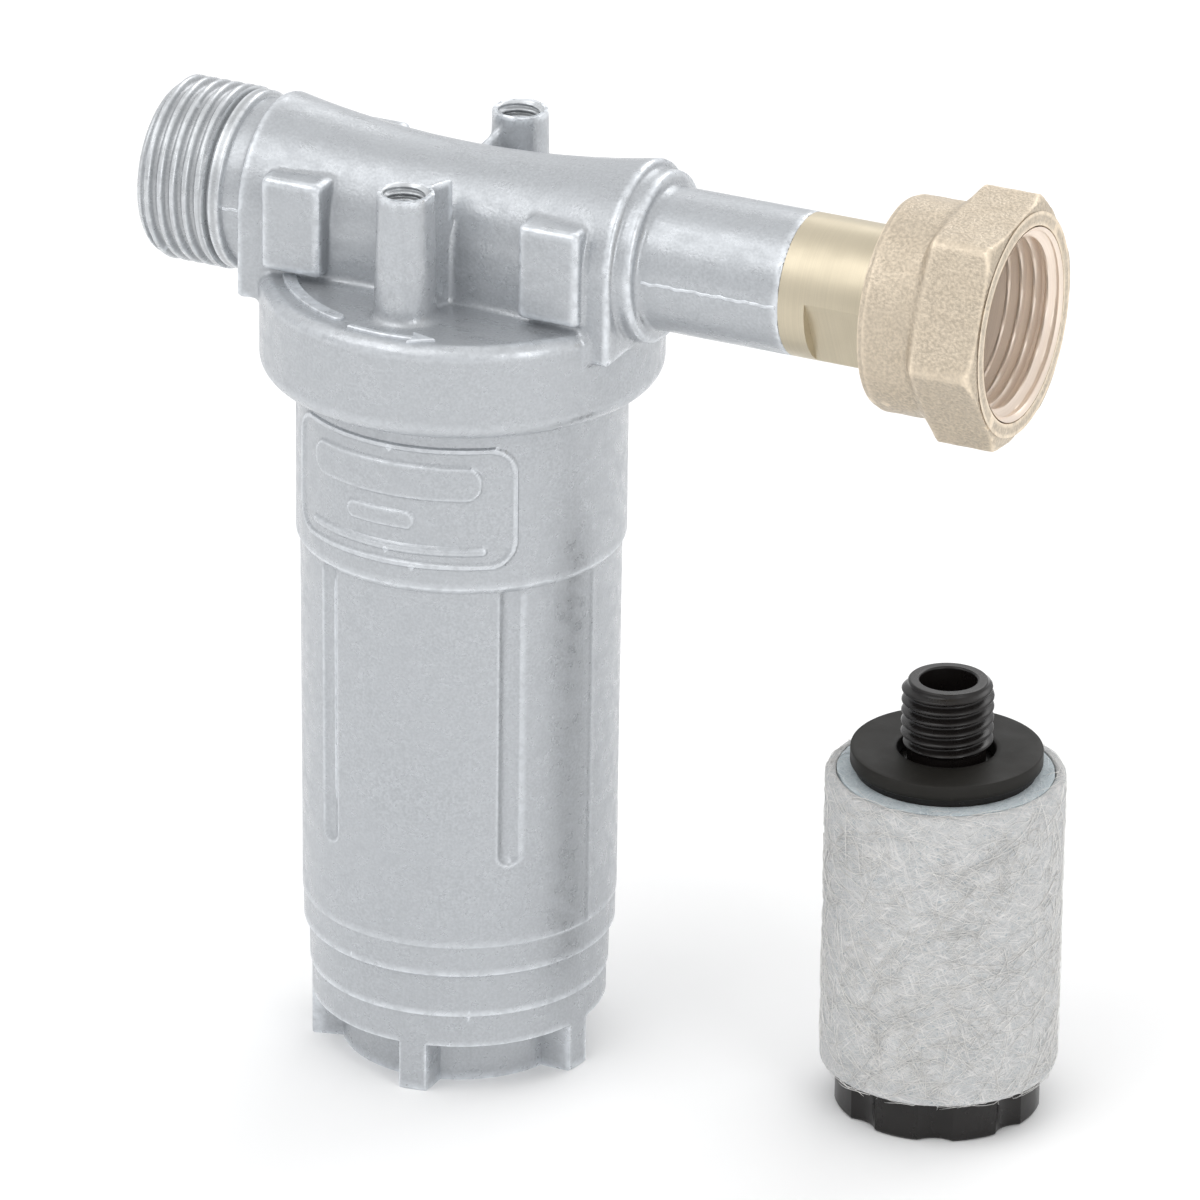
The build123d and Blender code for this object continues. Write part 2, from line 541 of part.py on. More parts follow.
def end_cap(x, y, seat):
    """Closed cap with scallops around it that fingers can grip."""
    bottom = seat + CARTRIDGE_BOTTOM
    scallop_place = END_CAP_RADIUS + END_CAP_SCALLOP_RADIUS - END_CAP_SCALLOP_DEPTH
    with BuildPart() as cap:
        with BuildSketch(Plane.XY.offset(bottom)):
            with Locations((x, y)):
                Circle(END_CAP_RADIUS)
                with PolarLocations(scallop_place, END_CAP_LOBES, start_angle=180 / END_CAP_LOBES):
                    Circle(END_CAP_SCALLOP_RADIUS, mode=Mode.SUBTRACT)
        extrude(amount=END_CAP_HEIGHT)
        fillet(cap.edges().group_by(Axis.Z)[0], END_CAP_FILLET)
        with BuildSketch(Plane.XY.offset(bottom + END_CAP_HEIGHT)):
            with Locations((x, y)):
                Circle(SUPPORT_TUBE_RADIUS + TUBE_SOCKET_CLEARANCE)
        extrude(amount=-END_CAP_SOCKET_DEPTH, mode=Mode.SUBTRACT)
    return cap.part


def cartridge(prefix, x, y, seat):
    """The six pieces of one cartridge, hung from its seal disc's top face at the given height."""
    fleece_bottom = seat + FLEECE_BOTTOM
    return {
        prefix + "_end_fitting": end_fitting(x, y, seat),
        prefix + "_seal_disc": ring(
            x, y, seat + FLANGE_TOP, SEAL_DISC_THICKNESS, SEAL_DISC_RADIUS, STUB_RADIUS + SEAL_DISC_CLEARANCE
        ),
        prefix + "_support_tube": support_tube(x, y, seat),
        prefix + "_inner_fleece": ring(
            x, y, fleece_bottom, FLEECE_LENGTH, FLEECE_SPLIT_RADIUS - FLEECE_LAYER_GAP, FLEECE_BORE
        ),
        prefix + "_outer_fleece": ring(
            x, y, fleece_bottom, FLEECE_LENGTH, FLEECE_RADIUS, FLEECE_SPLIT_RADIUS
        ),
        prefix + "_end_cap": end_cap(x, y, seat),
    }


# ---- write every piece -----------------------------------------------------------------------
pieces = {
    "head_casting": head_casting.part,
    "cup_casting": cup_casting.part,
    "cup_o_ring": cup_o_ring.part,
    "outlet_spigot": outlet_spigot.part,
    "spigot_o_ring": spigot_o_ring.part,
    "union_nut": union_nut.part,
    "outlet_gasket": outlet_gasket.part,
}
pieces.update(cartridge("cartridge", 0, 0, SEAT_HEIGHT))
pieces.update(cartridge("spare", SPARE_X, SPARE_Y, -CARTRIDGE_BOTTOM))

os.makedirs("parts", exist_ok=True)
for label, piece in pieces.items():
    piece.label = label
    export_step(piece, f"parts/{label}.step")
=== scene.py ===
"""Visual model of an in-line gas filter with a screw-on cup, and its spare cartridge beside it.

Lengths in this file are millimetres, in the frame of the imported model, and become metres where a
mesh is made. +Z runs up the cup's axis and +X runs along the pipe towards the outlet.
"""
import logging
import math
from dataclasses import dataclass, field
from enum import Enum
from typing import Callable, Sequence

import bpy
import numpy as np
from mathutils import Matrix, Vector


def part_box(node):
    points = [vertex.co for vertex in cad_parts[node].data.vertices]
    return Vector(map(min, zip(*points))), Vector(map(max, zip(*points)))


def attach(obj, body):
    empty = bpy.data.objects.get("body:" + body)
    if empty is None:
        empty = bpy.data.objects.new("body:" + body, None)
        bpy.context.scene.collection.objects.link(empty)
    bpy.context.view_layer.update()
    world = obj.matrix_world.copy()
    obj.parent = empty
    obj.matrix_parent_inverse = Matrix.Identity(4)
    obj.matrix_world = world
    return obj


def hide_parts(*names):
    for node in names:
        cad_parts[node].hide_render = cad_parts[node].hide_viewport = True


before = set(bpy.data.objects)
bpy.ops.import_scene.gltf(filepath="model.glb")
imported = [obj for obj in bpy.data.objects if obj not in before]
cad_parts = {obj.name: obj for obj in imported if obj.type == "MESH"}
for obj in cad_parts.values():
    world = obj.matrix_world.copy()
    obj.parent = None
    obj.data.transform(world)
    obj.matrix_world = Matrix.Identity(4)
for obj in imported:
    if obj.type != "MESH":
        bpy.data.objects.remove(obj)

Array = np.ndarray
Field = Callable[[Array, Array, Array], Array]

LOG = logging.getLogger("gas_filter")
METRE = 0.001
TURN = 2 * math.pi
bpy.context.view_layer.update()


class Slot(Enum):
    """The record's material slots."""

    ZINC = "cast_zinc"
    TURNED_BRASS = "machined_brass"
    FORGED_BRASS = "forged_brass"
    PLASTIC = "black_plastic"
    RUBBER = "seal_rubber"
    INNER_FLEECE = "inner_fleece"
    OUTER_FLEECE = "outer_fleece"


class Way(Enum):
    """The way that a turned piece's own axis points, as a map from its axes to the frame's."""

    UP = ((1, 0, 0), (0, 1, 0), (0, 0, 1))
    ALONG_PIPE = ((0, 1, 0), (0, 0, 1), (1, 0, 0))


# ---- where the frame says the pieces are ------------------------------------------------------


@dataclass(frozen=True)
class Box:
    """A CAD node's box in millimetres."""

    low: Array
    high: Array

    @staticmethod
    def of(node: str) -> "Box":
        """Read the box of a node from the frame."""
        low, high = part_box(node)
        return Box(np.array(low) / METRE, np.array(high) / METRE)

    @property
    def middle(self) -> Array:
        """The box's centre."""
        return (self.low + self.high) / 2

    @property
    def size(self) -> Array:
        """The box's three sides."""
        return self.high - self.low


# ---- meshes ----------------------------------------------------------------------------------


def make_object(name: str, points: Array, faces: Sequence, sharp: float = 40.0) -> bpy.types.Object:
    """Put vertices and faces into a smooth-shaded object at the origin.

    Args:
        name: The piece's name.
        points: Vertices in millimetres, one row each.
        faces: Vertex numbers of each face, as an array or a list of sequences.
        sharp: Edges that turn by more than this many degrees stay crisp.

    Returns:
        The new object, linked to the scene.
    """
    mesh = bpy.data.meshes.new(name)
    loops = faces.tolist() if isinstance(faces, np.ndarray) else faces
    mesh.from_pydata((points * METRE).tolist(), [], loops)
    mesh.validate()
    mesh.shade_smooth()
    mesh.set_sharp_from_angle(angle=math.radians(sharp))
    piece = bpy.data.objects.new(name, mesh)
    bpy.context.scene.collection.objects.link(piece)
    return piece


def grid_faces(rows: int, columns: int) -> Array:
    """Quads of a grid that closes on itself both ways.

    Args:
        rows: Points around the profile.
        columns: Points around the axis.

    Returns:
        One row of four vertex numbers for each quad.
    """
    row, column = np.meshgrid(np.arange(rows), np.arange(columns), indexing="ij")
    next_row, next_column = (row + 1) % rows, (column + 1) % columns
    corners = (
        row * columns + column,
        row * columns + next_column,
        next_row * columns + next_column,
        next_row * columns + column,
    )
    return np.stack(corners, axis=-1).reshape(-1, 4)


def fine_profile(corners: Sequence[tuple[float, float]], step: float) -> Array:
    """Divide a closed outline so that no stretch is longer than a step.

    Args:
        corners: (radius, height) of each corner.
        step: Longest stretch allowed.

    Returns:
        The divided outline, one (radius, height) row each.
    """
    outline = np.array(corners, float)
    following = np.roll(outline, -1, axis=0)
    counts = np.maximum(1, np.ceil(np.linalg.norm(following - outline, axis=1) / step).astype(int))
    share = np.concatenate([np.arange(count) / count for count in counts])[:, None]
    start = np.repeat(outline, counts, axis=0)
    return start + (np.repeat(following, counts, axis=0) - start) * share


def turned(
    name: str,
    profile: Array,
    centre: Sequence[float],
    columns: Array | int = 192,
    way: Way = Way.UP,
    relief: Callable[[Array, Array, Array], Array] | None = None,
    sharp: float = 40.0,
) -> bpy.types.Object:
    """A closed turned piece: each profile point runs once round the axis.

    A point is centre + r(cos a, sin a, 0) + h(0, 0, 1), in the piece's own axes, where r is the
    profile's radius plus the relief at angle a and height h.

    Args:
        name: The piece's name.
        profile: Closed outline of (radius, height), anticlockwise when radius points right.
        centre: The point on the axis that heights count from.
        columns: Angles round the axis, or how many evenly spaced ones.
        way: Which way the axis points.
        relief: What is added to the radius, from angle, height and plain radius.
        sharp: Edges that turn by more than this many degrees stay crisp.

    Returns:
        The new object.
    """
    angles = np.arange(columns) / columns * TURN if isinstance(columns, int) else columns
    angle, radius = np.meshgrid(angles, profile[:, 0])
    height = np.broadcast_to(profile[:, 1][:, None], angle.shape)
    if relief is not None:
        radius = np.maximum(radius + relief(angle, height, radius), 0)
    own = np.stack([radius * np.cos(angle), radius * np.sin(angle), height], axis=-1).reshape(-1, 3)
    points = np.array(centre) + own @ np.array(way.value, float)
    piece = make_object(name, points, grid_faces(len(profile), len(angles)), sharp)
    # The edge value marks convex corners of the profile, where the cast finish paints a highlight.
    edge = piece.data.attributes.new("edge", "FLOAT", "POINT")
    edge.data.foreach_set("value", np.repeat(painted_corner_highlight(profile), len(angles)).astype(np.float32))
    if profile[:, 0].min() <= 0:
        close_poles(piece)
    return piece


def painted_corner_highlight(profile: Array, reach: float = 0.22, full: float = 0.6) -> Array:
    """How much a closed outline turns outwards near each of its points, from 0 to 1; the mask of the painted highlight
    on convex edges.

    Each point's own turn is spread along the outline by a bell curve of its arc length.

    Args:
        profile: Closed outline of (radius, height), anticlockwise.
        reach: Width of the bell curve, in millimetres.
        full: Turn in radians that counts as a whole edge.

    Returns:
        One value for each point.
    """
    ahead = np.roll(profile, -1, axis=0) - profile
    length = np.maximum(np.linalg.norm(ahead, axis=1), 1e-9)
    behind = np.roll(ahead, 1, axis=0)
    cross = behind[:, 0] * ahead[:, 1] - behind[:, 1] * ahead[:, 0]
    turn = np.arctan2(cross, (behind * ahead).sum(axis=1))
    place = np.concatenate([[0], np.cumsum(length)[:-1]])
    spread = np.exp(-(((place[:, None] - place[None, :]) / reach) ** 2))
    return np.clip(spread @ turn / full, 0, 1)


def close_poles(piece: bpy.types.Object) -> None:
    """Merge the points that a turned profile puts on its axis."""
    import bmesh

    shape = bmesh.new()
    shape.from_mesh(piece.data)
    bmesh.ops.remove_doubles(shape, verts=shape.verts, dist=1e-7)
    bmesh.ops.dissolve_degenerate(shape, dist=1e-7, edges=shape.edges)
    shape.to_mesh(piece.data)
    shape.free()


def unroll(piece: bpy.types.Object, centre: Sequence[float]) -> None:
    """Give a turned piece a UV map in millimetres: arc length round it, and height less radius.

    A face that crosses the angle where a turn starts takes the angles past a full turn.
    """
    mesh = piece.data
    count = len(mesh.loops)
    vertex = np.empty(count, np.int32)
    mesh.loops.foreach_get("vertex_index", vertex)
    place = np.empty(len(mesh.vertices) * 3)
    mesh.vertices.foreach_get("co", place)
    x, y, z = (place.reshape(-1, 3)[vertex] / METRE - np.array(centre)).T
    angle = np.arctan2(y, x)
    starts = np.empty(len(mesh.polygons), np.int32)
    mesh.polygons.foreach_get("loop_start", starts)
    spread = np.maximum.reduceat(angle, starts) - np.minimum.reduceat(angle, starts)
    sizes = np.diff(np.append(starts, count))
    crossing = np.repeat(spread > math.pi, sizes)
    angle = np.where(crossing & (angle < 0), angle + TURN, angle)
    radius = np.hypot(x, y)
    flat = np.column_stack([angle * radius.max(), z - radius])
    mesh.uv_layers.new(name="unrolled").data.foreach_set("uv", flat.ravel())


def prism(name: str, outline: Array, levels: Sequence[tuple[float, float]], sharp: float = 30.0) -> bpy.types.Object:
    """A closed prism: the outline is repeated at each level, moved in by that level's inset.

    Args:
        name: The piece's name.
        outline: (x, y) corners, anticlockwise.
        levels: (height, inset) from the bottom up.
        sharp: Edges that turn by more than this many degrees stay crisp.

    Returns:
        The new object.
    """
    points, faces = prism_arrays(outline, levels)
    return make_object(name, points, faces, sharp)


def prism_arrays(outline: Array, levels: Sequence[tuple[float, float]]) -> tuple[Array, list]:
    """Vertices and faces of a prism, for pieces made of several.

    A corner moves in along the mean of its two edges' inward normals.

    Args:
        outline: (x, y) corners, anticlockwise.
        levels: (height, inset) from the bottom up.

    Returns:
        The vertices and the faces.
    """
    count = len(outline)
    edge = np.roll(outline, -1, axis=0) - outline
    edge /= np.linalg.norm(edge, axis=1, keepdims=True)
    inward = np.stack([-edge[:, 1], edge[:, 0]], axis=1)
    mean = inward + np.roll(inward, 1, axis=0)
    mean /= np.maximum((mean**2).sum(axis=1, keepdims=True) / 2, 0.3)
    rings = [np.column_stack([outline + mean * inset, np.full(count, height)]) for height, inset in levels]
    sides = grid_faces(len(levels), count)[: (len(levels) - 1) * count]
    faces = [list(reversed(range(count)))] + sides.tolist()
    faces.append(list(range((len(levels) - 1) * count, len(levels) * count)))
    return np.concatenate(rings), faces


# ---- solids given by a signed distance ---------------------------------------------------------


def join(a: Array, b: Array, fillet: float) -> Array:
    """Union of two distances with a round fillet of that radius in the corner between them."""
    inner = np.hypot(np.maximum(fillet - a, 0), np.maximum(fillet - b, 0))
    return np.maximum(fillet, np.minimum(a, b)) - inner


def meet(a: Array, b: Array, rounding: float) -> Array:
    """Intersection of two distances with its edge rounded to that radius."""
    outer = np.hypot(np.maximum(rounding + a, 0), np.maximum(rounding + b, 0))
    return np.minimum(-rounding, np.maximum(a, b)) + outer


def cut(a: Array, b: Array, rounding: float) -> Array:
    """Take the second distance's solid out of the first, with its edge rounded."""
    return meet(a, -b, rounding)


def rod(across: Array, along: Array, radius: float, start: float, end: float, rounding: float = 0.0) -> Array:
    """Distance to a rod, from the distance off its axis and the place along it."""
    ends = np.abs(along - (start + end) / 2) - abs(end - start) / 2
    return meet(across - radius, ends, max(rounding, 1e-4))


def block(x: Array, y: Array, z: Array, half: Sequence[float], rounding: float) -> Array:
    """Distance to a block about the origin with all its edges rounded."""
    outside = [np.abs(axis) - size + rounding for axis, size in zip((x, y, z), half)]
    far = np.sqrt(sum(np.maximum(side, 0) ** 2 for side in outside))
    return far + np.minimum(np.maximum(np.maximum(outside[0], outside[1]), outside[2]), 0) - rounding


def net(distance: Field, low: Array, high: Array, step: float) -> tuple[Array, Array]:
    """Surface net of a distance's zero level, pulled onto it by Newton steps.

    Every grid edge whose ends have different signs gives a crossing point. A cell's vertex is the
    mean of its crossings, and each crossing makes a quad of the four cells round its edge. Each
    vertex then moves by -f g / |g|^2, where f is the distance and g its gradient.

    Args:
        distance: Signed distance in millimetres, negative inside.
        low: Lowest corner of the region.
        high: Highest corner of the region.
        step: Grid step.

    Returns:
        The vertices and the quads.
    """
    axes = [np.arange(a, b + step, step, dtype=np.float32) for a, b in zip(low, high)]
    value = distance(*np.meshgrid(*axes, indexing="ij", sparse=True))
    shape = np.array(value.shape)
    weights = np.array([shape[1] * shape[2], shape[2], 1])
    cells, crossings = [], []
    for axis in range(3):
        near = np.moveaxis(value, axis, 0)[:-1]
        far = np.moveaxis(value, axis, 0)[1:]
        found = np.stack(np.nonzero((near < 0) != (far < 0)), axis=1)
        a, b = near[tuple(found.T)], far[tuple(found.T)]
        others = [other for other in range(3) if other != axis]
        place = np.empty_like(found)
        place[:, axis], place[:, others[0]], place[:, others[1]] = found.T
        point = place.astype(float)
        point[:, axis] += a / (a - b)
        round_edge = np.zeros((4, 3), int)
        round_edge[:, others[0]], round_edge[:, others[1]] = (0, -1, -1, 0), (0, 0, -1, -1)
        ring = ((place[:, None] + round_edge) * weights).sum(axis=2)
        outward = (a < 0) != (axis == 1)
        cells.append(np.where(outward[:, None], ring, ring[:, ::-1]))
        crossings.append(point)
    quads, points = np.concatenate(cells), np.concatenate(crossings)
    used, vertex = np.unique(quads, return_inverse=True)
    vertex = vertex.reshape(quads.shape)
    count = np.bincount(vertex.ravel(), minlength=len(used))
    sums = [np.bincount(vertex.ravel(), np.repeat(points[:, axis], 4), len(used)) for axis in range(3)]
    vertices = np.stack(sums, axis=1) / count[:, None] * step + np.array([axis[0] for axis in axes])
    for _ in range(4):
        value, slope = slope_of(distance, vertices)
        move = value[:, None] * slope / np.maximum((slope**2).sum(axis=1, keepdims=True), 0.2)
        vertices -= np.clip(move, -step / 3, step / 3)
    return vertices, vertex


def slope_of(distance: Field, points: Array, reach: float = 0.02) -> tuple[Array, Array]:
    """A distance and its gradient, by central differences, at each point."""
    shifts = np.eye(3) * reach
    slope = [distance(*(points + s).T) - distance(*(points - s).T) for s in shifts]
    return distance(*points.T), np.stack(slope, axis=1) / (2 * reach)


# ---- thread forms -----------------------------------------------------------------------------


@dataclass(frozen=True)
class Thread:
    """A right-handed thread along a piece's own axis."""

    pitch: float
    depth: float
    start: float
    end: float
    inside: bool = False
    flat: float = 0.16
    run_out: float = 0.7

    def relief(self, angle: Array, height: Array, radius: Array) -> Array:
        """Depth cut below the crest, as a trapezoid wave of height / pitch - angle / turn.

        Args:
            angle: Angle round the axis.
            height: Place along the axis.
            radius: Plain radius, at the crests.

        Returns:
            What to add to the radius: negative on a male thread, positive in a female one.
        """
        phase = (height / self.pitch - angle / TURN) % 1
        wave = np.clip((np.abs(2 * phase - 1) - self.flat) / (1 - 2 * self.flat), 0, 1)
        ease = wave * wave * (3 - 2 * wave)
        middle, half = (self.start + self.end) / 2, (self.end - self.start) / 2
        near_end = np.clip((half - np.abs(height - middle)) / self.run_out, 0, 1)
        cut_depth = self.depth * (0.75 * wave + 0.25 * ease) * near_end
        return cut_depth if self.inside else -cut_depth


# ---- finishes ---------------------------------------------------------------------------------


class Recipe:
    """One node material, with short ways to add the nodes that the finishes share."""

    def __init__(self, name: str) -> None:
        """Start an empty material with a Principled surface.

        Args:
            name: The material's name.
        """
        self.material = bpy.data.materials.new(name)
        self.material.use_nodes = True
        self.tree = self.material.node_tree
        self.tree.nodes.clear()
        output = self.tree.nodes.new("ShaderNodeOutputMaterial")
        self.surface = self.tree.nodes.new("ShaderNodeBsdfPrincipled")
        self.tree.links.new(self.surface.outputs["BSDF"], output.inputs["Surface"])
        self.place = self.tree.nodes.new("ShaderNodeTexCoord").outputs["Object"]

    def node(self, kind: str, inputs: dict, **settings: object) -> bpy.types.Node:
        """Add a node.

        Args:
            kind: Its type, after ShaderNode.
            inputs: Each input's value, or the output that feeds it.
            settings: The node's own properties.

        Returns:
            The new node.
        """
        made = self.tree.nodes.new("ShaderNode" + kind)
        for setting, value in settings.items():
            setattr(made, setting, value)
        for socket, value in inputs.items():
            if isinstance(value, bpy.types.NodeSocket):
                self.tree.links.new(value, made.inputs[socket])
            else:
                made.inputs[socket].default_value = value
        return made

    def noise(self, size: float, detail: float = 3.0, stretch: tuple = (1, 1, 1)) -> bpy.types.NodeSocket:
        """Noise whose spots are about `size` millimetres, stretched along the axes."""
        mapped = self.node("Mapping", {"Vector": self.place, "Scale": [1 / s for s in stretch]}).outputs[0]
        inputs = {"Vector": mapped, "Scale": 1 / (size * METRE), "Detail": detail}
        return self.node("TexNoise", inputs).outputs["Fac"]

    def span(self, value: bpy.types.NodeSocket, low: float, high: float, to: tuple = (0.0, 1.0)) -> bpy.types.NodeSocket:
        """Map a value from a range onto another, clamped."""
        inputs = {"Value": value, "From Min": low, "From Max": high, "To Min": to[0], "To Max": to[1]}
        return self.node("MapRange", inputs, clamp=True).outputs["Result"]

    def blend(self, share: bpy.types.NodeSocket, first: object, second: object) -> bpy.types.NodeSocket:
        """Mix two colours, each a socket or red, green and blue."""
        made = self.node("Mix", {}, data_type="RGBA")
        for number, value in ((0, share), (6, first), (7, second)):
            if isinstance(value, bpy.types.NodeSocket):
                self.tree.links.new(value, made.inputs[number])
            else:
                made.inputs[number].default_value = (*value, 1.0)
        return made.outputs[2]

    def bump(self, height: bpy.types.NodeSocket, depth: float, before: object = None) -> bpy.types.NodeSocket:
        """Bump of that depth in millimetres, on top of an earlier one."""
        inputs = {"Height": height, "Distance": depth * METRE, "Strength": 1.0}
        if before is not None:
            inputs["Normal"] = before
        return self.node("Bump", inputs).outputs["Normal"]

    def feed(self, **sockets: object) -> None:
        """Link or set the surface's inputs, with underscores for spaces."""
        for name, value in sockets.items():
            target = self.surface.inputs[name.replace("_", " ")]
            if isinstance(value, bpy.types.NodeSocket):
                self.tree.links.new(value, target)
            else:
                target.default_value = value


@dataclass(frozen=True)
class Finish:
    """What every finish has: a name, its record slot and its main colour."""

    name: str
    slot: Slot
    colour: tuple[float, float, float]

    def material(self) -> bpy.types.Material:
        """The finish's material, made once."""
        found = bpy.data.materials.get(self.name)
        return found or self.make(Recipe(self.name))

    def make(self, recipe: Recipe) -> bpy.types.Material:
        """Fill in the material; each finish has its own way."""
        raise NotImplementedError

    def shade(self, factor: float) -> tuple[float, float, float]:
        """The main colour, lighter or darker."""
        return tuple(min(channel * factor, 1.0) for channel in self.colour)


@dataclass(frozen=True)
class CastMetal(Finish):
    """Metal with the skin of its mould: grain, soft flow marks and a painted highlight along its edges."""

    grain: float = 0.3
    grain_depth: float = 0.022
    flow: float = 1.5
    flow_depth: float = 0.035
    roughness: tuple[float, float] = (0.24, 0.44)
    # edge: how much lighter the painted highlight on edges is, as a factor on the colour.
    edge: float = 1.6
    mottle: float = 0.10
    metallic: float = 0.5

    def make(self, recipe: Recipe) -> bpy.types.Material:
        """Colour from mottle and a painted highlight on edges, roughness from flow, bump from grain and flow."""
        grain = recipe.noise(self.grain, 2.0)
        flow = recipe.noise(self.flow, 3.0, (1.6, 1.0, 1.0))
        patches = recipe.noise(7.0, 2.0)
        dark, light = self.shade(1 - self.mottle), self.shade(1 + self.mottle)
        spotted = recipe.blend(recipe.span(grain, 0.35, 0.68), dark, light)
        cloudy = recipe.blend(recipe.span(patches, 0.3, 0.7, (0.0, 0.5)), spotted, self.colour)
        # Painted highlight: edges found by pointiness and by the profile's edge value are lightened, broken up by
        # noise, as if they caught the light.
        ridge = recipe.node("NewGeometry", {}).outputs["Pointiness"]
        marked = recipe.node("Attribute", {}, attribute_name="edge").outputs["Fac"]
        edges = recipe.node("Math", {0: recipe.span(ridge, 0.504, 0.545), 1: marked}, operation="MAXIMUM").outputs[0]
        broken = recipe.span(recipe.noise(0.9, 3.0), 0.3, 0.6, (0.35, 1.0))
        painted_edge_highlight = recipe.node("Math", {0: edges, 1: broken}, operation="MULTIPLY").outputs[0]
        recipe.feed(
            Base_Color=recipe.blend(painted_edge_highlight, cloudy, self.shade(self.edge)),
            Metallic=self.metallic,
            Roughness=recipe.span(flow, 0.35, 0.65, self.roughness),
            Normal=recipe.bump(flow, self.flow_depth, recipe.bump(grain, self.grain_depth)),
        )
        return recipe.material


@dataclass(frozen=True)
class TurnedMetal(Finish):
    """Machined metal with fine tool rings across the pipe's axis."""

    roughness: tuple[float, float] = (0.16, 0.30)
    ring: float = 0.09
    ring_depth: float = 0.0016
    metallic: float = 1.0

    def make(self, recipe: Recipe) -> bpy.types.Material:
        """Noise stretched round the pipe makes rings in colour, roughness and bump."""
        rings = recipe.noise(self.ring, 2.0, (1.0, 400.0, 400.0))
        smears = recipe.noise(3.0, 3.0)
        tone = recipe.blend(recipe.span(rings, 0.3, 0.7), self.shade(0.95), self.shade(1.04))
        recipe.feed(
            Base_Color=recipe.blend(recipe.span(smears, 0.4, 0.8, (0.0, 0.4)), tone, self.shade(0.9)),
            Metallic=self.metallic,
            Roughness=recipe.span(smears, 0.3, 0.7, self.roughness),
            Normal=recipe.bump(rings, self.ring_depth),
        )
        return recipe.material


@dataclass(frozen=True)
class Moulding(Finish):
    """Black plastic or rubber: faint grain, dust and a soft gloss."""

    roughness: tuple[float, float] = (0.32, 0.5)
    grain: float = 0.25
    grain_depth: float = 0.006
    dust: float = 0.35
    gloss: float = 0.4

    def make(self, recipe: Recipe) -> bpy.types.Material:
        """Dust lightens patches; grain gives a fine bump; smears vary the gloss."""
        grain = recipe.noise(self.grain, 3.0)
        smears = recipe.noise(4.0, 4.0)
        specks = recipe.noise(0.5, 2.0)
        dusty = recipe.span(specks, 0.62, 0.75, (0.0, self.dust))
        tone = recipe.blend(dusty, self.colour, self.shade(2.6))
        recipe.feed(
            Base_Color=tone,
            Specular_IOR_Level=self.gloss,
            Roughness=recipe.span(smears, 0.3, 0.7, self.roughness),
            Normal=recipe.bump(grain, self.grain_depth),
        )
        return recipe.material


@dataclass(frozen=True)
class Felt(Finish):
    """Needled fibre: pale strands that run every way over the sleeve, with a few dark specks."""

    shadow: tuple[float, float, float] = (0.47, 0.49, 0.50)
    speck: tuple[float, float, float] = (0.30, 0.37, 0.41)
    strand_width: float = 0.15
    strand_length: float = 3.2
    leanings: tuple[float, ...] = (12.0, -20.0, 38.0, -47.0, 72.0)
    strand_depth: float = 0.09

    def make(self, recipe: Recipe) -> bpy.types.Material:
        """Long narrow noise at five slants, read from the unrolled sleeve, makes the strands."""
        weave = None
        for number, leaning in enumerate(self.leanings):
            strands = recipe.span(self.strands(recipe, leaning, number), 0.50, 0.70)
            mixed = {0: strands} if weave is None else {0: strands, 1: weave}
            weave = strands if weave is None else recipe.node("Math", mixed, operation="MAXIMUM").outputs[0]
        clumps = recipe.noise(1.6, 4.0)
        specks = recipe.noise(0.36, 1.5, (1.0, 1.0, 0.7))
        pale = recipe.blend(weave, self.shadow, self.colour)
        cloudy = recipe.blend(recipe.span(clumps, 0.40, 0.66, (0.0, 0.3)), pale, self.shade(1.06))
        speckled = recipe.blend(recipe.span(specks, 0.63, 0.72, (0.0, 0.6)), cloudy, self.speck)
        recipe.feed(
            Base_Color=speckled,
            Roughness=0.95,
            Sheen_Weight=0.2,
            Sheen_Roughness=0.5,
            Specular_IOR_Level=0.1,
            Normal=recipe.bump(weave, self.strand_depth, recipe.bump(clumps, 0.1)),
        )
        return recipe.material

    def strands(self, recipe: Recipe, leaning: float, number: int) -> bpy.types.NodeSocket:
        """Noise that is narrow across a slant and long along it, on the unrolled sleeve."""
        unrolled = recipe.node("TexCoord", {}).outputs["UV"]
        turned_in = recipe.node("Mapping", {"Vector": unrolled, "Rotation": (0, 0, math.radians(leaning))}).outputs[0]
        scale = (1 / self.strand_length, 1 / self.strand_width, 1)
        drawn = recipe.node("Mapping", {"Vector": turned_in, "Scale": scale, "Location": (number * 7.3, 0, number)})
        inputs = {"Vector": drawn.outputs[0], "Scale": 1.0, "Detail": 1.5, "Distortion": 0.25}
        return recipe.node("TexNoise", inputs).outputs["Fac"]


@dataclass(frozen=True)
class Fibre(Finish):
    """Single loose fibres: pale and a little glossy."""

    def make(self, recipe: Recipe) -> bpy.types.Material:
        """Brightness drifts from fibre to fibre."""
        drift = recipe.noise(1.1, 1.0)
        tone = recipe.blend(recipe.span(drift, 0.35, 0.65), self.shade(0.86), self.colour)
        recipe.feed(Base_Color=tone, Roughness=0.5, Specular_IOR_Level=0.3, Sheen_Weight=0.3)
        return recipe.material


ZINC = CastMetal("cast_zinc_skin", Slot.ZINC, (0.455, 0.474, 0.496))
ZINC_THREAD = CastMetal(
    "cut_zinc_thread", Slot.ZINC, (0.44, 0.455, 0.47), grain_depth=0.012, flow_depth=0.02, roughness=(0.24, 0.36)
)
FORGED = CastMetal(
    "blasted_brass",
    Slot.FORGED_BRASS,
    (0.57, 0.49, 0.385),
    grain=0.34,
    grain_depth=0.13,
    flow_depth=0.01,
    roughness=(0.42, 0.56),
    edge=1.5,
    mottle=0.2,
    metallic=0.6,
)
TURNED = TurnedMetal("turned_brass", Slot.TURNED_BRASS, (0.58, 0.515, 0.39), roughness=(0.34, 0.46), metallic=0.75)
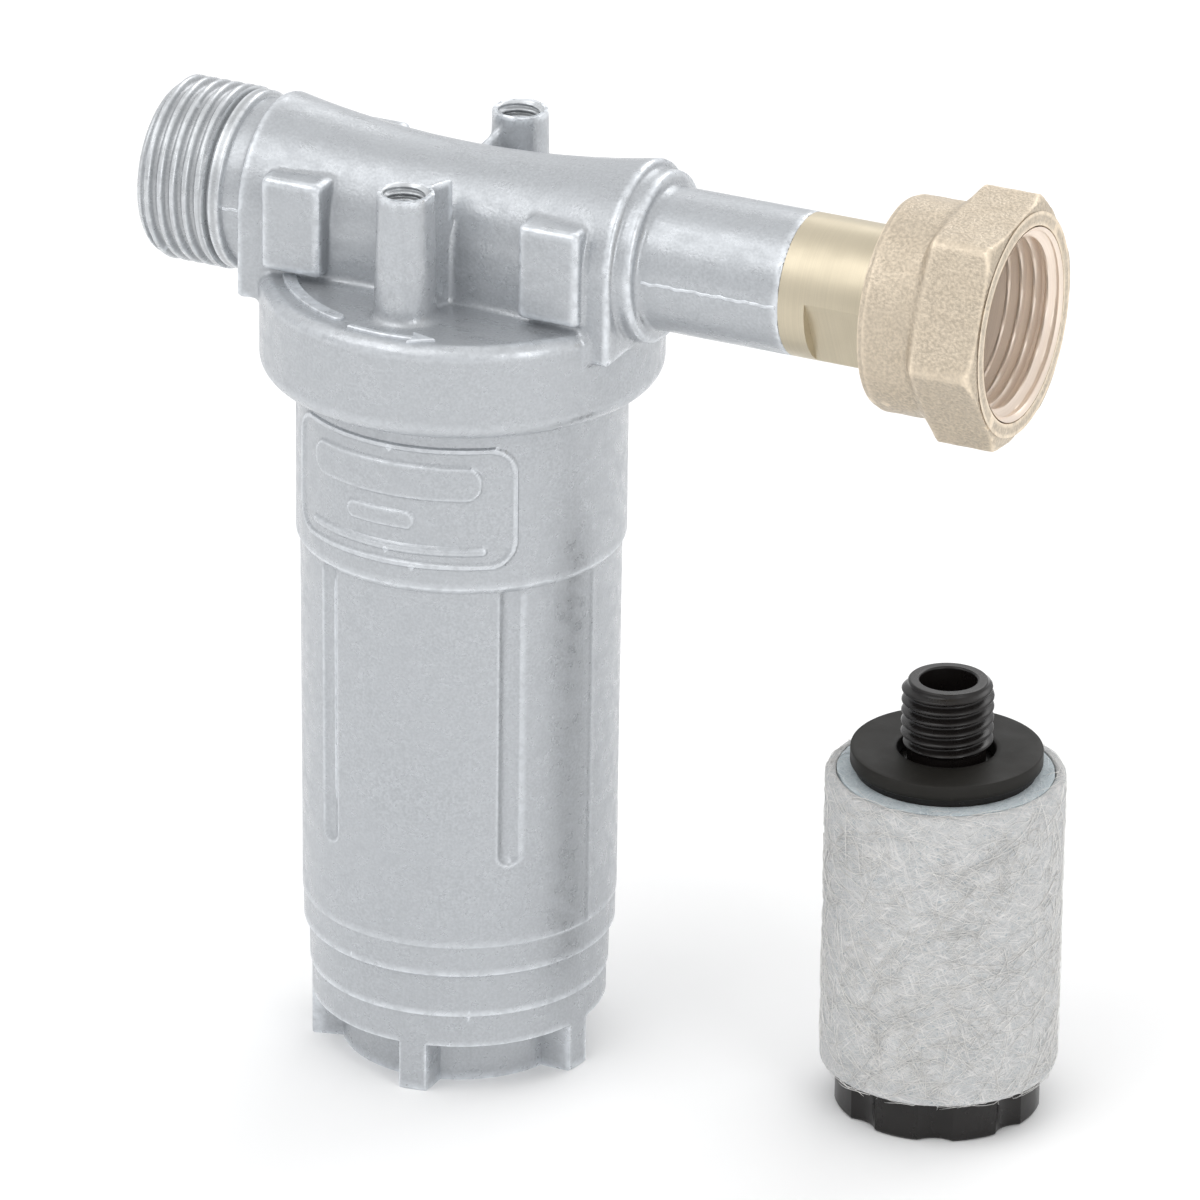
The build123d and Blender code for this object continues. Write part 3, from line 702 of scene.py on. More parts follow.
# Machined brass in the nut's bore: the machined finish is real, but its base colour, much lighter than the other
# brass, is painted light that brightens the shaded inside of the bore.
LIT_BORE = TurnedMetal("threaded_brass_painted_light", Slot.FORGED_BRASS, (0.88, 0.76, 0.65), roughness=(0.28, 0.4), metallic=0.45)
PLASTIC = Moulding("black_moulding", Slot.PLASTIC, (0.008, 0.0065, 0.006), roughness=(0.2, 0.38), dust=0.25)
RUBBER = Moulding("black_rubber", Slot.RUBBER, (0.012, 0.011, 0.009), roughness=(0.5, 0.62), gloss=0.25)
OUTER_FELT = Felt("outer_fleece_felt", Slot.OUTER_FLEECE, (0.72, 0.71, 0.70))
# Loose fibres take a lighter copy of the fleece colour: painted light, so that the thin fibres read pale against the
# wrap instead of dark in their own shade.
LIT_LOOSE_FIBRE = Fibre("loose_fleece_fibre_lit", Slot.OUTER_FLEECE, (0.86, 0.85, 0.83))
INNER_FELT = Felt("inner_fleece_felt", Slot.INNER_FLEECE, (0.68, 0.735, 0.76), shadow=(0.46, 0.54, 0.58))


def dress(piece: bpy.types.Object, finish: Finish) -> bpy.types.Object:
    """Give a piece its finish."""
    piece.data.materials.clear()
    piece.data.materials.append(finish.material())
    return piece


def fit(piece: bpy.types.Object, body: str, finish: Finish, *nodes: str) -> bpy.types.Object:
    """Dress a new piece, hang it on its body, say which nodes it stands for, and report it.

    Args:
        piece: The new piece.
        body: The CAD body that carries it.
        finish: Its finish.
        nodes: CAD nodes that it stands for.

    Returns:
        The piece.
    """
    dress(piece, finish)
    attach(piece, body)
    if nodes:
        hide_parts(*nodes)
    LOG.info("%s: %d faces on %s", piece.name, len(piece.data.polygons), body)
    return piece


def keep(node: str, finish: Finish) -> None:
    """Leave a CAD node as it is and give it a finish."""
    dress(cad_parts[node], finish)
    LOG.info("%s: kept from the frame", node)


# ---- head casting ------------------------------------------------------------------------------


@dataclass
class Head:
    """The die-cast head: waisted pipe body, collar, pads, bosses, inlet thread and outlet tube."""

    body_half: float = 22.0
    end_radius: float = 10.3
    waist_radius: float = 8.2
    web_drop: float = 3.2
    collar_top: float = 90.0
    rim_bevel: float = 0.8
    pad: tuple[float, float, float] = (3.55, 10.9, 5.25)
    pad_place: float = 15.2
    pad_bottom: float = 90.9
    boss_place: float = 13.7
    boss_top: float = 104.2
    boss_radius: float = 3.05
    boss_taper: float = 0.022
    boss_hole: float = 2.1
    screw_depth: float = 0.4
    neck_radius: float = 9.1
    thread_length: float = 10.3
    thread_core: float = 9.0
    shoulder: tuple[float, float] = (9.3, 2.0)
    tube_radius: float = 7.72
    step: float = 0.402
    box: Box = field(default_factory=lambda: Box.of("head_casting"))
    pipe_height: float = field(default_factory=lambda: float(Box.of("outlet_spigot").middle[2]))

    def body_radius(self, x: Array) -> Array:
        """Radius along the waisted body: an arc through both ends and the waist."""
        sag = self.end_radius - self.waist_radius
        arc = (self.body_half**2 + sag**2) / (2 * sag)
        return self.waist_radius + arc - np.sqrt(np.maximum(arc**2 - x**2, 0))

    def distance(self, x: Array, y: Array, z: Array) -> Array:
        """Signed distance to the casting, with every corner filleted as a die leaves it."""
        up = z - self.pipe_height
        off_pipe = np.hypot(y, up)
        off_axis = np.hypot(x, y)
        shape = self.outside(x, y, z, up, off_pipe, off_axis)
        return self.hollow(shape, x, y, z, off_pipe, off_axis)

    def outside(self, x: Array, y: Array, z: Array, up: Array, off_pipe: Array, off_axis: Array) -> Array:
        """The casting before its passages are cut."""
        side = np.where(up > 0, off_pipe, np.abs(y)) - self.body_radius(x)
        body = meet(side, np.abs(x) - self.body_half, 0.55)
        body = meet(body, self.collar_top - self.web_drop - z, 0.45)
        rim = off_axis - self.box.high[1]
        bevel = (rim + z - self.collar_top + self.rim_bevel) / math.sqrt(2)
        collar = meet(meet(rim, z - self.collar_top, 0.15), bevel, 0.3)
        collar = meet(collar, self.box.low[2] - z, 2.0)
        shape = join(body, collar, 0.7)
        pad_height = self.pad_bottom + self.pad[2] - z
        shape = join(shape, block(np.abs(x) - self.pad_place, y, pad_height, self.pad, 0.6), 0.45)
        boss = np.hypot(x, np.abs(y) - self.boss_place) - self.boss_radius - self.boss_taper * (self.boss_top - z)
        boss = meet(meet(boss, z - self.boss_top, 0.35), self.collar_top - 1 - z, 0.1)
        shape = join(shape, boss, 0.9)
        shape = join(shape, self.gusset(x, y, z), 0.35)
        neck = rod(off_pipe, x, self.neck_radius, -self.body_half - 5, -self.body_half + 1)
        core = rod(off_pipe, x, self.thread_core, self.box.low[0] + 0.4, -self.body_half, 0.2)
        shape = join(shape, np.minimum(neck, core), 0.5)
        ring = rod(off_pipe, x, self.shoulder[0], self.body_half - 1, self.body_half + self.shoulder[1], 0.45)
        tube = rod(off_pipe, x, self.tube_radius, self.body_half - 1, self.box.high[0], 0.25)
        return join(join(shape, ring, 0.5), tube, 0.8)

    def gusset(self, x: Array, y: Array, z: Array) -> Array:
        """A thin slanted web from each boss to the body; the back one also slopes down to it."""
        mirror = np.where(y < 0, 1.0, -1.0)
        a, b = x * mirror, self.boss_place - np.abs(y)
        slant = math.atan2(2.2, 5.5)
        off = a * math.cos(slant) - b * math.sin(slant)
        along = a * math.sin(slant) + b * math.cos(slant)
        drop = np.where(y < 0, 0.3, 0.62 * np.maximum(along - 1.5, 0) + 0.5)
        wall = meet(np.abs(off) - 0.42, np.abs(along - 3.2) - 3.2, 0.2)
        top = z - self.boss_top + drop
        return meet(wall, np.maximum(top, self.collar_top - 1 - z), 0.3)

    def hollow(self, shape: Array, x: Array, y: Array, z: Array, off_pipe: Array, off_axis: Array) -> Array:
        """Cut the inlet, the outlet, the cup's room, the cartridge's hole and the screw holes."""
        low, high = self.box.low, self.box.high
        ceiling = self.collar_top - 1.6
        room = rod(off_axis, z, 17.6, low[2] - 2, ceiling - 2.8)
        room = np.minimum(room, rod(off_axis, z, 17.0, low[2] - 2, ceiling))
        room = np.minimum(room, rod(off_axis, z, 18.2, low[2] - 2, low[2] + 1.1))
        room = cut(room, rod(off_axis, z, 10.9, 81.0, ceiling + 2), 0.1)
        shape = cut(shape, room, 0.12)
        stub = np.minimum(rod(off_axis, z, 5.08, 80, 89.4), rod(off_axis, z, 3.4, 80, self.pipe_height))
        outlet = np.minimum(rod(off_pipe, x, 4.6, -8.5, high[0] + 2), rod(off_pipe, x, 6.0, high[0] - 12, high[0] + 2))
        inlet = rod(off_pipe, x, 6.0, low[0] - 2, -11.55)
        port = rod(np.hypot(x + 13.95, y), z, 2.4, ceiling - 1, self.pipe_height)
        passages = np.minimum(np.minimum(stub, outlet), np.minimum(inlet, port))
        shape = cut(shape, passages, 0.15)
        screw = np.hypot(x, np.abs(y) - self.boss_place) - self.boss_hole - self.screw_depth - 0.02
        return cut(shape, meet(screw, self.boss_top - 11 - z, 0.1), 0.08)

    def build(self) -> None:
        """Make the casting, its inlet thread, its seams and its flow arrow."""
        margin = 3 * self.step
        points, quads = net(self.distance, self.box.low - margin, self.box.high + margin, self.step)
        casting = make_object("head_casting_body", points, quads, 55.0)
        fit(casting, "head", ZINC, "head_casting")
        self.inlet_thread()
        self.boss_threads()
        self.seams()
        self.arrow()
        keep("spigot_o_ring", RUBBER)

    def inlet_thread(self) -> None:
        """A sleeve with the male thread, from the end's chamfer to the run-out at the neck."""
        start, end = self.box.low[0], self.box.low[0] + self.thread_length
        crest, inner, low_ring = 10.0, 6.05, 9.78
        corners = [
            (inner, start),
            (crest - 1.0, start),
            (crest - 0.08, start + 0.9),
            (crest, start + 1.0),
            (crest, end - 2.0),
            (crest - 0.75, end - 1.8),
            (crest - 0.75, end - 1.5),
            (low_ring, end - 1.35),
            (low_ring, end - 0.35),
            (low_ring - 0.1, end - 0.2),
            (self.neck_radius + 0.02, end),
            (inner, end),
        ]
        thread = Thread(1.5, 0.66, start + 0.3, end - 2.0, flat=0.24, run_out=0.5)
        wall = fine_profile(corners, 0.125)
        crest_zone = lambda a, h, r: np.where(r > self.thread_core, thread.relief(a, h, r), 0) * np.clip(
            (r - self.thread_core) / 0.86, 0, 1
        )
        piece = turned(
            "inlet_thread", wall, (0, 0, self.pipe_height), 288, Way.ALONG_PIPE, crest_zone, 60.0
        )
        fit(piece, "head", ZINC_THREAD, "head_casting")

    def boss_threads(self) -> None:
        """A sleeve with a female thread in each boss, closed by the hole's floor."""
        top, bore = self.boss_top - 0.12, self.boss_hole
        outer = bore + self.screw_depth + 0.06
        floor = self.boss_top - 11.0
        corners = [(0, floor), (outer, floor), (outer, top), (bore + 0.42, top), (bore, top - 0.42), (bore, floor + 0.3), (0, floor + 0.3)]
        thread = Thread(0.8, self.screw_depth, floor, top + 0.6, inside=True)
        relief = lambda a, h, r: np.where(
            (r > bore - 0.01) & (r < bore + 0.41) & (h > floor + 0.4),
            thread.relief(a, h, r) * np.clip(1 - (r - bore) / self.screw_depth, 0, 1),
            0,
        )
        for side, name in ((-1, "front"), (1, "back")):
            wall = fine_profile(corners, 0.1)
            piece = turned(f"boss_thread_{name}", wall, (0, side * self.boss_place, 0), 72, Way.UP, relief, 60.0)
            fit(piece, "head", ZINC_THREAD)

    def seams(self) -> None:
        """The die's parting line: a low rib along both sides of the outlet tube and the inlet's neck."""
        stretches = (
            ("tube", self.body_half + self.shoulder[1] + 0.6, self.box.high[0] - 0.3, self.tube_radius, 0.13),
            ("neck", self.box.low[0] + self.thread_length + 0.05, -self.body_half + 0.1, self.neck_radius, 0.09),
        )
        for place, start, end, radius, height in stretches:
            along = np.linspace(start, end, max(12, int((end - start) * 6)))
            around = np.linspace(0, TURN, 10, endpoint=False)
            for side, name in ((-1, "front"), (1, "back")):
                wobble = 0.05 * np.sin(along * 1.9) + 0.04 * np.sin(along * 4.3 + 1)
                x = np.repeat(along, len(around))
                y = side * (radius - 0.03 + height * np.tile(np.cos(around), len(along)))
                z = self.pipe_height + 0.2 * np.tile(np.sin(around), len(along)) + np.repeat(wobble, len(around))
                faces = grid_faces(len(along), len(around))[: (len(along) - 1) * len(around)].tolist()
                count = len(around)
                faces += [list(range(count))[::-1], list(range(len(x) - count, len(x)))]
                piece = make_object(f"{place}_seam_{name}", np.column_stack([x, y, z]), faces, 80.0)
                face_out(piece)
                fit(piece, "head", ZINC)

    def arrow(self) -> None:
        """A raised flow arrow on the collar's top, curved with its rim and pointing to the outlet."""
        radius, start, neck, tip = 19.6, -101.5, -79.5, -72.0
        shaft = np.radians(np.linspace(start, neck, 12))
        inner = np.column_stack([radius - 0.35 + 0 * shaft, shaft])
        outer = np.column_stack([radius + 0.35 + 0 * shaft, shaft])
        head = [(radius + 1.15, math.radians(neck - 1)), (radius, math.radians(tip)), (radius - 1.5, math.radians(neck - 1))]
        polar = np.concatenate([outer, head, inner[::-1]])
        outline = np.column_stack([polar[:, 0] * np.cos(polar[:, 1]), polar[:, 0] * np.sin(polar[:, 1])])
        levels = [(self.collar_top - 0.3, 0), (self.collar_top + 0.22, 0.03), (self.collar_top + 0.34, 0.12)]
        piece = prism("flow_arrow", outline, levels)
        face_out(piece)
        fit(piece, "head", ZINC)
        self.curved_bar("rim_bar", 18.55, 0.75, (-151.0, -109.0), levels)

    def curved_bar(self, name: str, radius: float, half: float, span: tuple[float, float], levels: Sequence) -> None:
        """A plain raised bar that follows the rim, with rounded ends."""
        start, end = np.radians(span)
        turn = np.linspace(start, end, 28)
        cap = np.linspace(0, math.pi, 9)[1:-1]
        outer = np.column_stack([np.full_like(turn, radius + half), turn])
        far = np.column_stack([radius + half * np.cos(cap), end + half * np.sin(cap) / radius])
        inner = np.column_stack([np.full_like(turn, radius - half), turn[::-1]])
        near = np.column_stack([radius - half * np.cos(cap), start - half * np.sin(cap) / radius])
        polar = np.concatenate([outer, far, inner, near])
        outline = np.column_stack([polar[:, 0] * np.cos(polar[:, 1]), polar[:, 0] * np.sin(polar[:, 1])])
        piece = prism(name, outline, levels)
        face_out(piece)
        fit(piece, "head", ZINC)


def face_out(piece: bpy.types.Object) -> None:
    """Turn a closed piece's faces outwards."""
    import bmesh

    shape = bmesh.new()
    shape.from_mesh(piece.data)
    bmesh.ops.recalc_face_normals(shape, faces=shape.faces)
    shape.to_mesh(piece.data)
    shape.free()


# ---- cup ---------------------------------------------------------------------------------------


@dataclass
class Cup:
    """The screw-on cup: label band, tapered wall with flutes, stepped foot and five feet."""

    band_radius: float = 17.9
    band_bottom: float = 60.6
    wall_top_radius: float = 17.45
    wall_foot_radius: float = 17.1
    foot_step: float = 14.5
    rib_height: float = 9.4
    foot_radius: float = 16.2
    floor_radius: float = 12.9
    inner_radius: float = 14.6
    feet: int = 5
    first_foot: float = -81.9
    foot_half: float = 5.4
    foot_root_half: float = 9.3
    feet_height: float = 5.5
    flute_bottom: float = 27.6
    flute_half: float = 1.25
    label_half: float = 46.0
    label_low: float = 63.0
    label_high: float = 77.2
    thread_crest: float = 17.5
    box: Box = field(default_factory=lambda: Box.of("cup_casting"))

    def profile(self) -> Array:
        """The wall's closed outline, divided more finely where there is relief."""
        rim = self.box.high[2]
        groove = float(Box.of("cup_o_ring").middle[2])
        outside = [
            (0, 0.0),
            (self.floor_radius - 0.3, 0.0),
            (self.floor_radius, 0.0),
            (self.foot_radius - 0.15, 0.0),
            (self.foot_radius, 0.15),
            (self.foot_radius, self.feet_height - 0.05),
            (self.foot_radius, self.feet_height + 0.15),
            (self.foot_radius, self.rib_height - 0.08),
            (16.42, self.rib_height),
            (16.5, self.foot_step - 0.3),
            (self.wall_foot_radius - 0.08, self.foot_step),
            (self.wall_foot_radius, self.foot_step + 0.1),
            (self.wall_foot_radius + 0.02, 17.9),
            (self.wall_foot_radius + 0.14, 18.1),
        ]
        flute_rows = self.flute_bottom + np.array([-0.3, 0, 0.15, 0.35, 0.6, 0.9, 1.3])
        wall = [(self.wall_radius(z), z) for z in flute_rows]
        top = [
            (self.wall_top_radius, self.band_bottom - 0.5),
            (self.band_radius - 0.08, self.band_bottom),
            (self.band_radius, self.band_bottom + 0.15),
            (self.band_radius, self.label_low - 0.6),
            (self.band_radius, self.label_high + 0.6),
            (self.band_radius, 79.2),
            (self.band_radius, 80.3),
            (self.thread_crest - 0.8, 80.3),
            (self.thread_crest, 81.1),
            (self.thread_crest, 84.9),
            (16.9, 85.5),
            (16.7, 85.5),
            (16.7, groove - 0.875),
            (15.4, groove - 0.875),
            (15.4, groove + 0.875),
            (16.7, groove + 0.875),
            (16.7, rim - 0.3),
            (16.4, rim),
            (self.inner_radius + 0.2, rim),
            (self.inner_radius, rim - 0.2),
        ]
        inside = [
            (self.inner_radius, 15.3),
            (13.8, 14.5),
            (13.8, 7.5),
            (10.0, 7.5),
            (10.0, 2.7),
            (0, 2.7),
        ]
        return np.array(self.divide(outside + wall + top + inside))

    def wall_radius(self, height: float) -> float:
        """Radius of the tapered wall."""
        share = (height - self.foot_step) / (self.band_bottom - self.foot_step)
        return self.wall_foot_radius + 0.1 + share * (self.wall_top_radius - self.wall_foot_radius - 0.1)

    def divide(self, corners: list) -> list:
        """Divide each stretch by its own step: finest at the label and thread, coarse inside."""
        divided = []
        for (r0, z0), (r1, z1) in zip(corners, corners[1:] + corners[:1]):
            on_label = r0 > 17.6 and min(z0, z1) > 61.9 and max(z0, z1) < 78.4
            on_thread = r0 > 16.7 and 80.4 < max(z0, z1) < 85.2
            step = 0.2 if on_label else 0.15 if on_thread else 0.9 if r0 > 16 else 4.0
            length = math.hypot(r1 - r0, z1 - z0)
            count = max(1, math.ceil(length / step))
            guard = 0.2 / length if step == 0.9 and length > 0.7 else 0
            shares = [0.0, guard, *(i / count for i in range(1, count)), 1 - guard] if guard else [i / count for i in range(count)]
            divided += [(r0 + (r1 - r0) * share, z0 + (z1 - z0) * share) for share in shares]
        return divided

    def columns(self) -> Array:
        """Angles round the cup, closer together across the label and at each flute."""
        fine = np.arange(-90 - self.label_half - 2, -90 + self.label_half + 2, 0.64)
        rest = np.arange(-90 + self.label_half + 2, 270 - self.label_half - 2, 1.3)
        feet = self.first_foot + np.arange(self.feet) * 360 / self.feet
        edges = [(feet + turn + 360 - fine[0]) % 360 + fine[0] for turn in self.foot_edges()]
        plain = np.concatenate([fine, rest])
        off = np.abs((plain[:, None] - np.concatenate(edges) + 180) % 360 - 180).min(axis=1)
        return np.radians(np.sort(np.concatenate([plain[off > 0.25], *edges])))

    def foot_edges(self) -> tuple[float, ...]:
        """Turns from a foot's middle to both ends of each of its side faces, in degrees."""
        return (-self.foot_root_half, -self.foot_half, self.foot_half, self.foot_root_half)

    def relief(self, angle: Array, height: Array, radius: Array) -> Array:
        """Everything that stands on or is sunk into the wall."""
        total = self.flutes(angle, height, radius) + self.label(angle, height, radius)
        thread = Thread(1.5, 0.8, 80.4, 85.1)
        on_thread = (height > 80.35) & (height < 85.45) & (radius > 16.75)
        total += np.where(on_thread, thread.relief(angle, height, radius) * np.clip((radius - 16.7) / 0.8, 0, 1), 0)
        seam_angle = math.radians(-9.5)
        seam = np.exp(-(((angle - seam_angle) * radius / 0.22) ** 2)) * 0.1
        on_seam = (height > 17.5) & (height < self.band_bottom - 0.3) & (radius > 16.9)
        return total + np.where(on_seam, seam, 0) + self.gaps(angle, height, radius)

    def gaps(self, angle: Array, height: Array, radius: Array) -> Array:
        """The gaps between the feet, cut in to the floor disc."""
        share = TURN / self.feet
        off = np.abs((angle - math.radians(self.first_foot) + share / 2) % share - share / 2)
        side = np.clip((np.degrees(off) - self.foot_half) / (self.foot_root_half - self.foot_half), 0, 1)
        floor = self.floor_radius + 0.25 * soft_step(height - self.feet_height + 0.7, 0.7)
        low = (height < self.feet_height) & (radius > self.floor_radius)
        return np.where(low, (floor - radius) * side, 0)

    def flutes(self, angle: Array, height: Array, radius: Array) -> Array:
        """Five shallow round flutes midway between the feet, each ending in a small ledge."""
        share = TURN / self.feet
        first = math.radians(self.first_foot) + share / 2
        off = ((angle - first + share / 2) % share - share / 2) * radius
        below = np.maximum(self.flute_bottom + self.flute_half - height, 0)
        depth = 0.52 * np.clip(1 - (off**2 + below**2) / self.flute_half**2, 0, 1) ** 0.8
        top = np.clip((self.band_bottom - 0.45 - height) / 0.3, 0, 1)
        return -np.where(radius > 16.9, depth * top, 0)

    def label(self, angle: Array, height: Array, radius: Array) -> Array:
        """A raised rounded frame on the front of the band, round three plain raised bars."""
        across = ((angle + TURN / 4 + math.pi) % TURN - math.pi) * self.band_radius
        middle = (self.label_low + self.label_high) / 2
        half = (math.radians(self.label_half) * self.band_radius, (self.label_high - self.label_low) / 2)
        edge = self.plate(across, height - middle, half, 3.2)
        rib = 0.24 * soft_step(0.42 - np.abs(edge + 0.42), 0.16)
        bars = np.zeros_like(edge)
        for place, lift, size in ((0.0, 2.9, (10.5, 2.1)), (-1.0, -1.6, (4.2, 1.15)), (0.0, -4.9, (11.0, 0.55))):
            bar = self.plate(across - place, height - middle - lift, size, min(size) * 0.9)
            bars = np.maximum(bars, 0.26 * soft_step(-bar, 0.22))
        on_band = (radius > self.band_radius - 0.02) & (height > 61.5) & (height < 78.9)
        return np.where(on_band, np.maximum(rib, bars), 0)

    @staticmethod
    def plate(across: Array, up: Array, half: tuple[float, float], corner: float) -> Array:
        """Distance to a flat rectangle with round corners."""
        a, b = np.abs(across) - half[0] + corner, np.abs(up) - half[1] + corner
        return np.hypot(np.maximum(a, 0), np.maximum(b, 0)) + np.minimum(np.maximum(a, b), 0) - corner

    def build(self) -> None:
        """Make the wall, with its feet, and dress its seal."""
        wall = turned("cup_wall", self.profile(), (0, 0, 0), self.columns(), Way.UP, self.relief, 35.0)
        fit(wall, "cup", ZINC, "cup_casting")
        keep("cup_o_ring", RUBBER)


def soft_step(value: Array, width: float) -> Array:
    """0 below zero and 1 above the width, with a smooth rise between."""
    share = np.clip(value / width, 0, 1)
    return share * share * (3 - 2 * share)


# ---- outlet ------------------------------------------------------------------------------------


@dataclass
class Outlet:
    """Brass spigot, union nut and flat gasket."""

    round_radius: float = 11.55
    round_length: float = 6.6
    apothem: float = 12.0
    corner_rounding: float = 1.3
    corner_angle: float = 6.7
    face_radius: float = 12.3
    bore: float = 9.19
    thread_depth: float = 0.86
    box: Box = field(default_factory=lambda: Box.of("union_nut"))

    def hexagon(self, angle: Array) -> Array:
        """Radius of a hexagon with round corners, from the angle round its axis.

        On a flat it is apothem / cos(a) for an angle a from the flat's middle; in a corner it is
        where the ray meets the corner's own circle.
        """
        sixth = TURN / 6
        off = np.abs((angle - math.radians(self.corner_angle)) % sixth - sixth / 2)
        core = (self.apothem - self.corner_rounding) / math.cos(sixth / 2)
        off_corner = sixth / 2 - off
        in_circle = np.maximum(self.corner_rounding**2 - (core * np.sin(off_corner)) ** 2, 0)
        corner = core * np.cos(off_corner) + np.sqrt(in_circle)
        flat_end = math.atan(core * math.sin(sixth / 2) / self.apothem)
        return np.where(off < flat_end, self.apothem / np.cos(off), corner)

    def outer(self, angle: Array, height: Array, radius: Array) -> Array:
        """Turn the plain outer radius into round, then hexagon, with the corners' chamfer."""
        start, end = self.box.low[0], self.box.high[0]
        share = soft_step(height - start - self.round_length + 0.7, 1.5)
        body = self.round_radius + (self.hexagon(angle) - self.round_radius) * share
        cone = self.face_radius + (end - height) / math.tan(math.radians(30))
        shaped = smooth_least(body, cone, 0.25)
        wave = 0.03 * np.sin(angle * 5 + height) * np.sin(height * 1.3)
        on_outside = (radius > self.bore + 1.4) & (height > start + 1.0) & (height < end - 0.001)
        return np.where(on_outside, shaped + wave - radius, 0)

    def bore_relief(self, angle: Array, height: Array, radius: Array) -> Array:
        """The female thread, cut outwards from the bore."""
        thread = Thread(1.5, self.thread_depth, self.box.high[0] - 8.1, self.box.high[0] + 0.6, inside=True)
        on_bore = (radius < self.bore + 0.8) & (radius > self.bore - 0.05)
        fade = np.clip(1 - (radius - self.bore) / self.thread_depth, 0, 1)
        return np.where(on_bore, thread.relief(angle, height, radius) * fade, 0)

    def nut_profile(self) -> tuple[Array, Array]:
        """The forged outside and the machined bore, as two open profiles end to end."""
        start, end = self.box.low[0], self.box.high[0]
        outside = fine_profile(
            [
                (7.9, start),
                (self.round_radius - 1.0, start),
                (self.round_radius - 0.3, start + 0.3),
                (self.round_radius, start + 1.01),
                (self.round_radius, end - 0.9),
                (self.round_radius, end - 0.001),
                (self.face_radius - 0.3, end),
                (10.5, end),
            ],
            0.28,
        )
        inside = fine_profile(
            [
                (10.35, end),
                (self.bore, end - 1.1),
                (self.bore, start + 6.4),
                (9.6, start + 6.3),
                (9.6, start + 2.2),
                (7.9, start + 2.2),
                (7.9, start + 0.05),
            ],
            0.125,
        )
        return outside, inside

    def build(self) -> None:
        """Make the nut with its thread, and dress the spigot and gasket."""
        outside, inside = self.nut_profile()
        height = float(Box.of("outlet_spigot").middle[2])
        drop_closing = lambda profile: profile[: len(profile) - 1]
        wall = np.concatenate([drop_closing(outside), drop_closing(inside)])
        relief = lambda a, h, r: self.outer(a, h, r) + self.bore_relief(a, h, r)
        nut = turned("union_nut_body", wall, (0, 0, height), 252, Way.ALONG_PIPE, relief, 32.0)
        fit(nut, "nut", FORGED, "union_nut")
        nut.data.materials.append(LIT_BORE.material())
        self.paint_bore(nut, height)
        keep("outlet_spigot", TURNED)
        keep("outlet_gasket", RUBBER)

    def paint_bore(self, nut: bpy.types.Object, height: float) -> None:
        """Give the faces inside the mouth the machined finish, whose much lighter colour is partly painted light for
        the shaded bore.
        """
        count = len(nut.data.polygons)
        centre = np.empty(count * 3)
        nut.data.polygons.foreach_get("center", centre)
        x, y, z = centre.reshape(-1, 3).T / METRE
        machined = (np.hypot(y, z - height) < 10.45) & (x > self.box.low[0] + 0.1)
        nut.data.polygons.foreach_set("material_index", machined.astype(np.int32))


def smooth_least(a: Array, b: Array, width: float) -> Array:
    """The lesser of two values, rounded where they are within a width of each other."""
    near = np.maximum(width - np.abs(a - b), 0) / width
    return np.minimum(a, b) - near * near * width / 4


# ---- cartridges --------------------------------------------------------------------------------


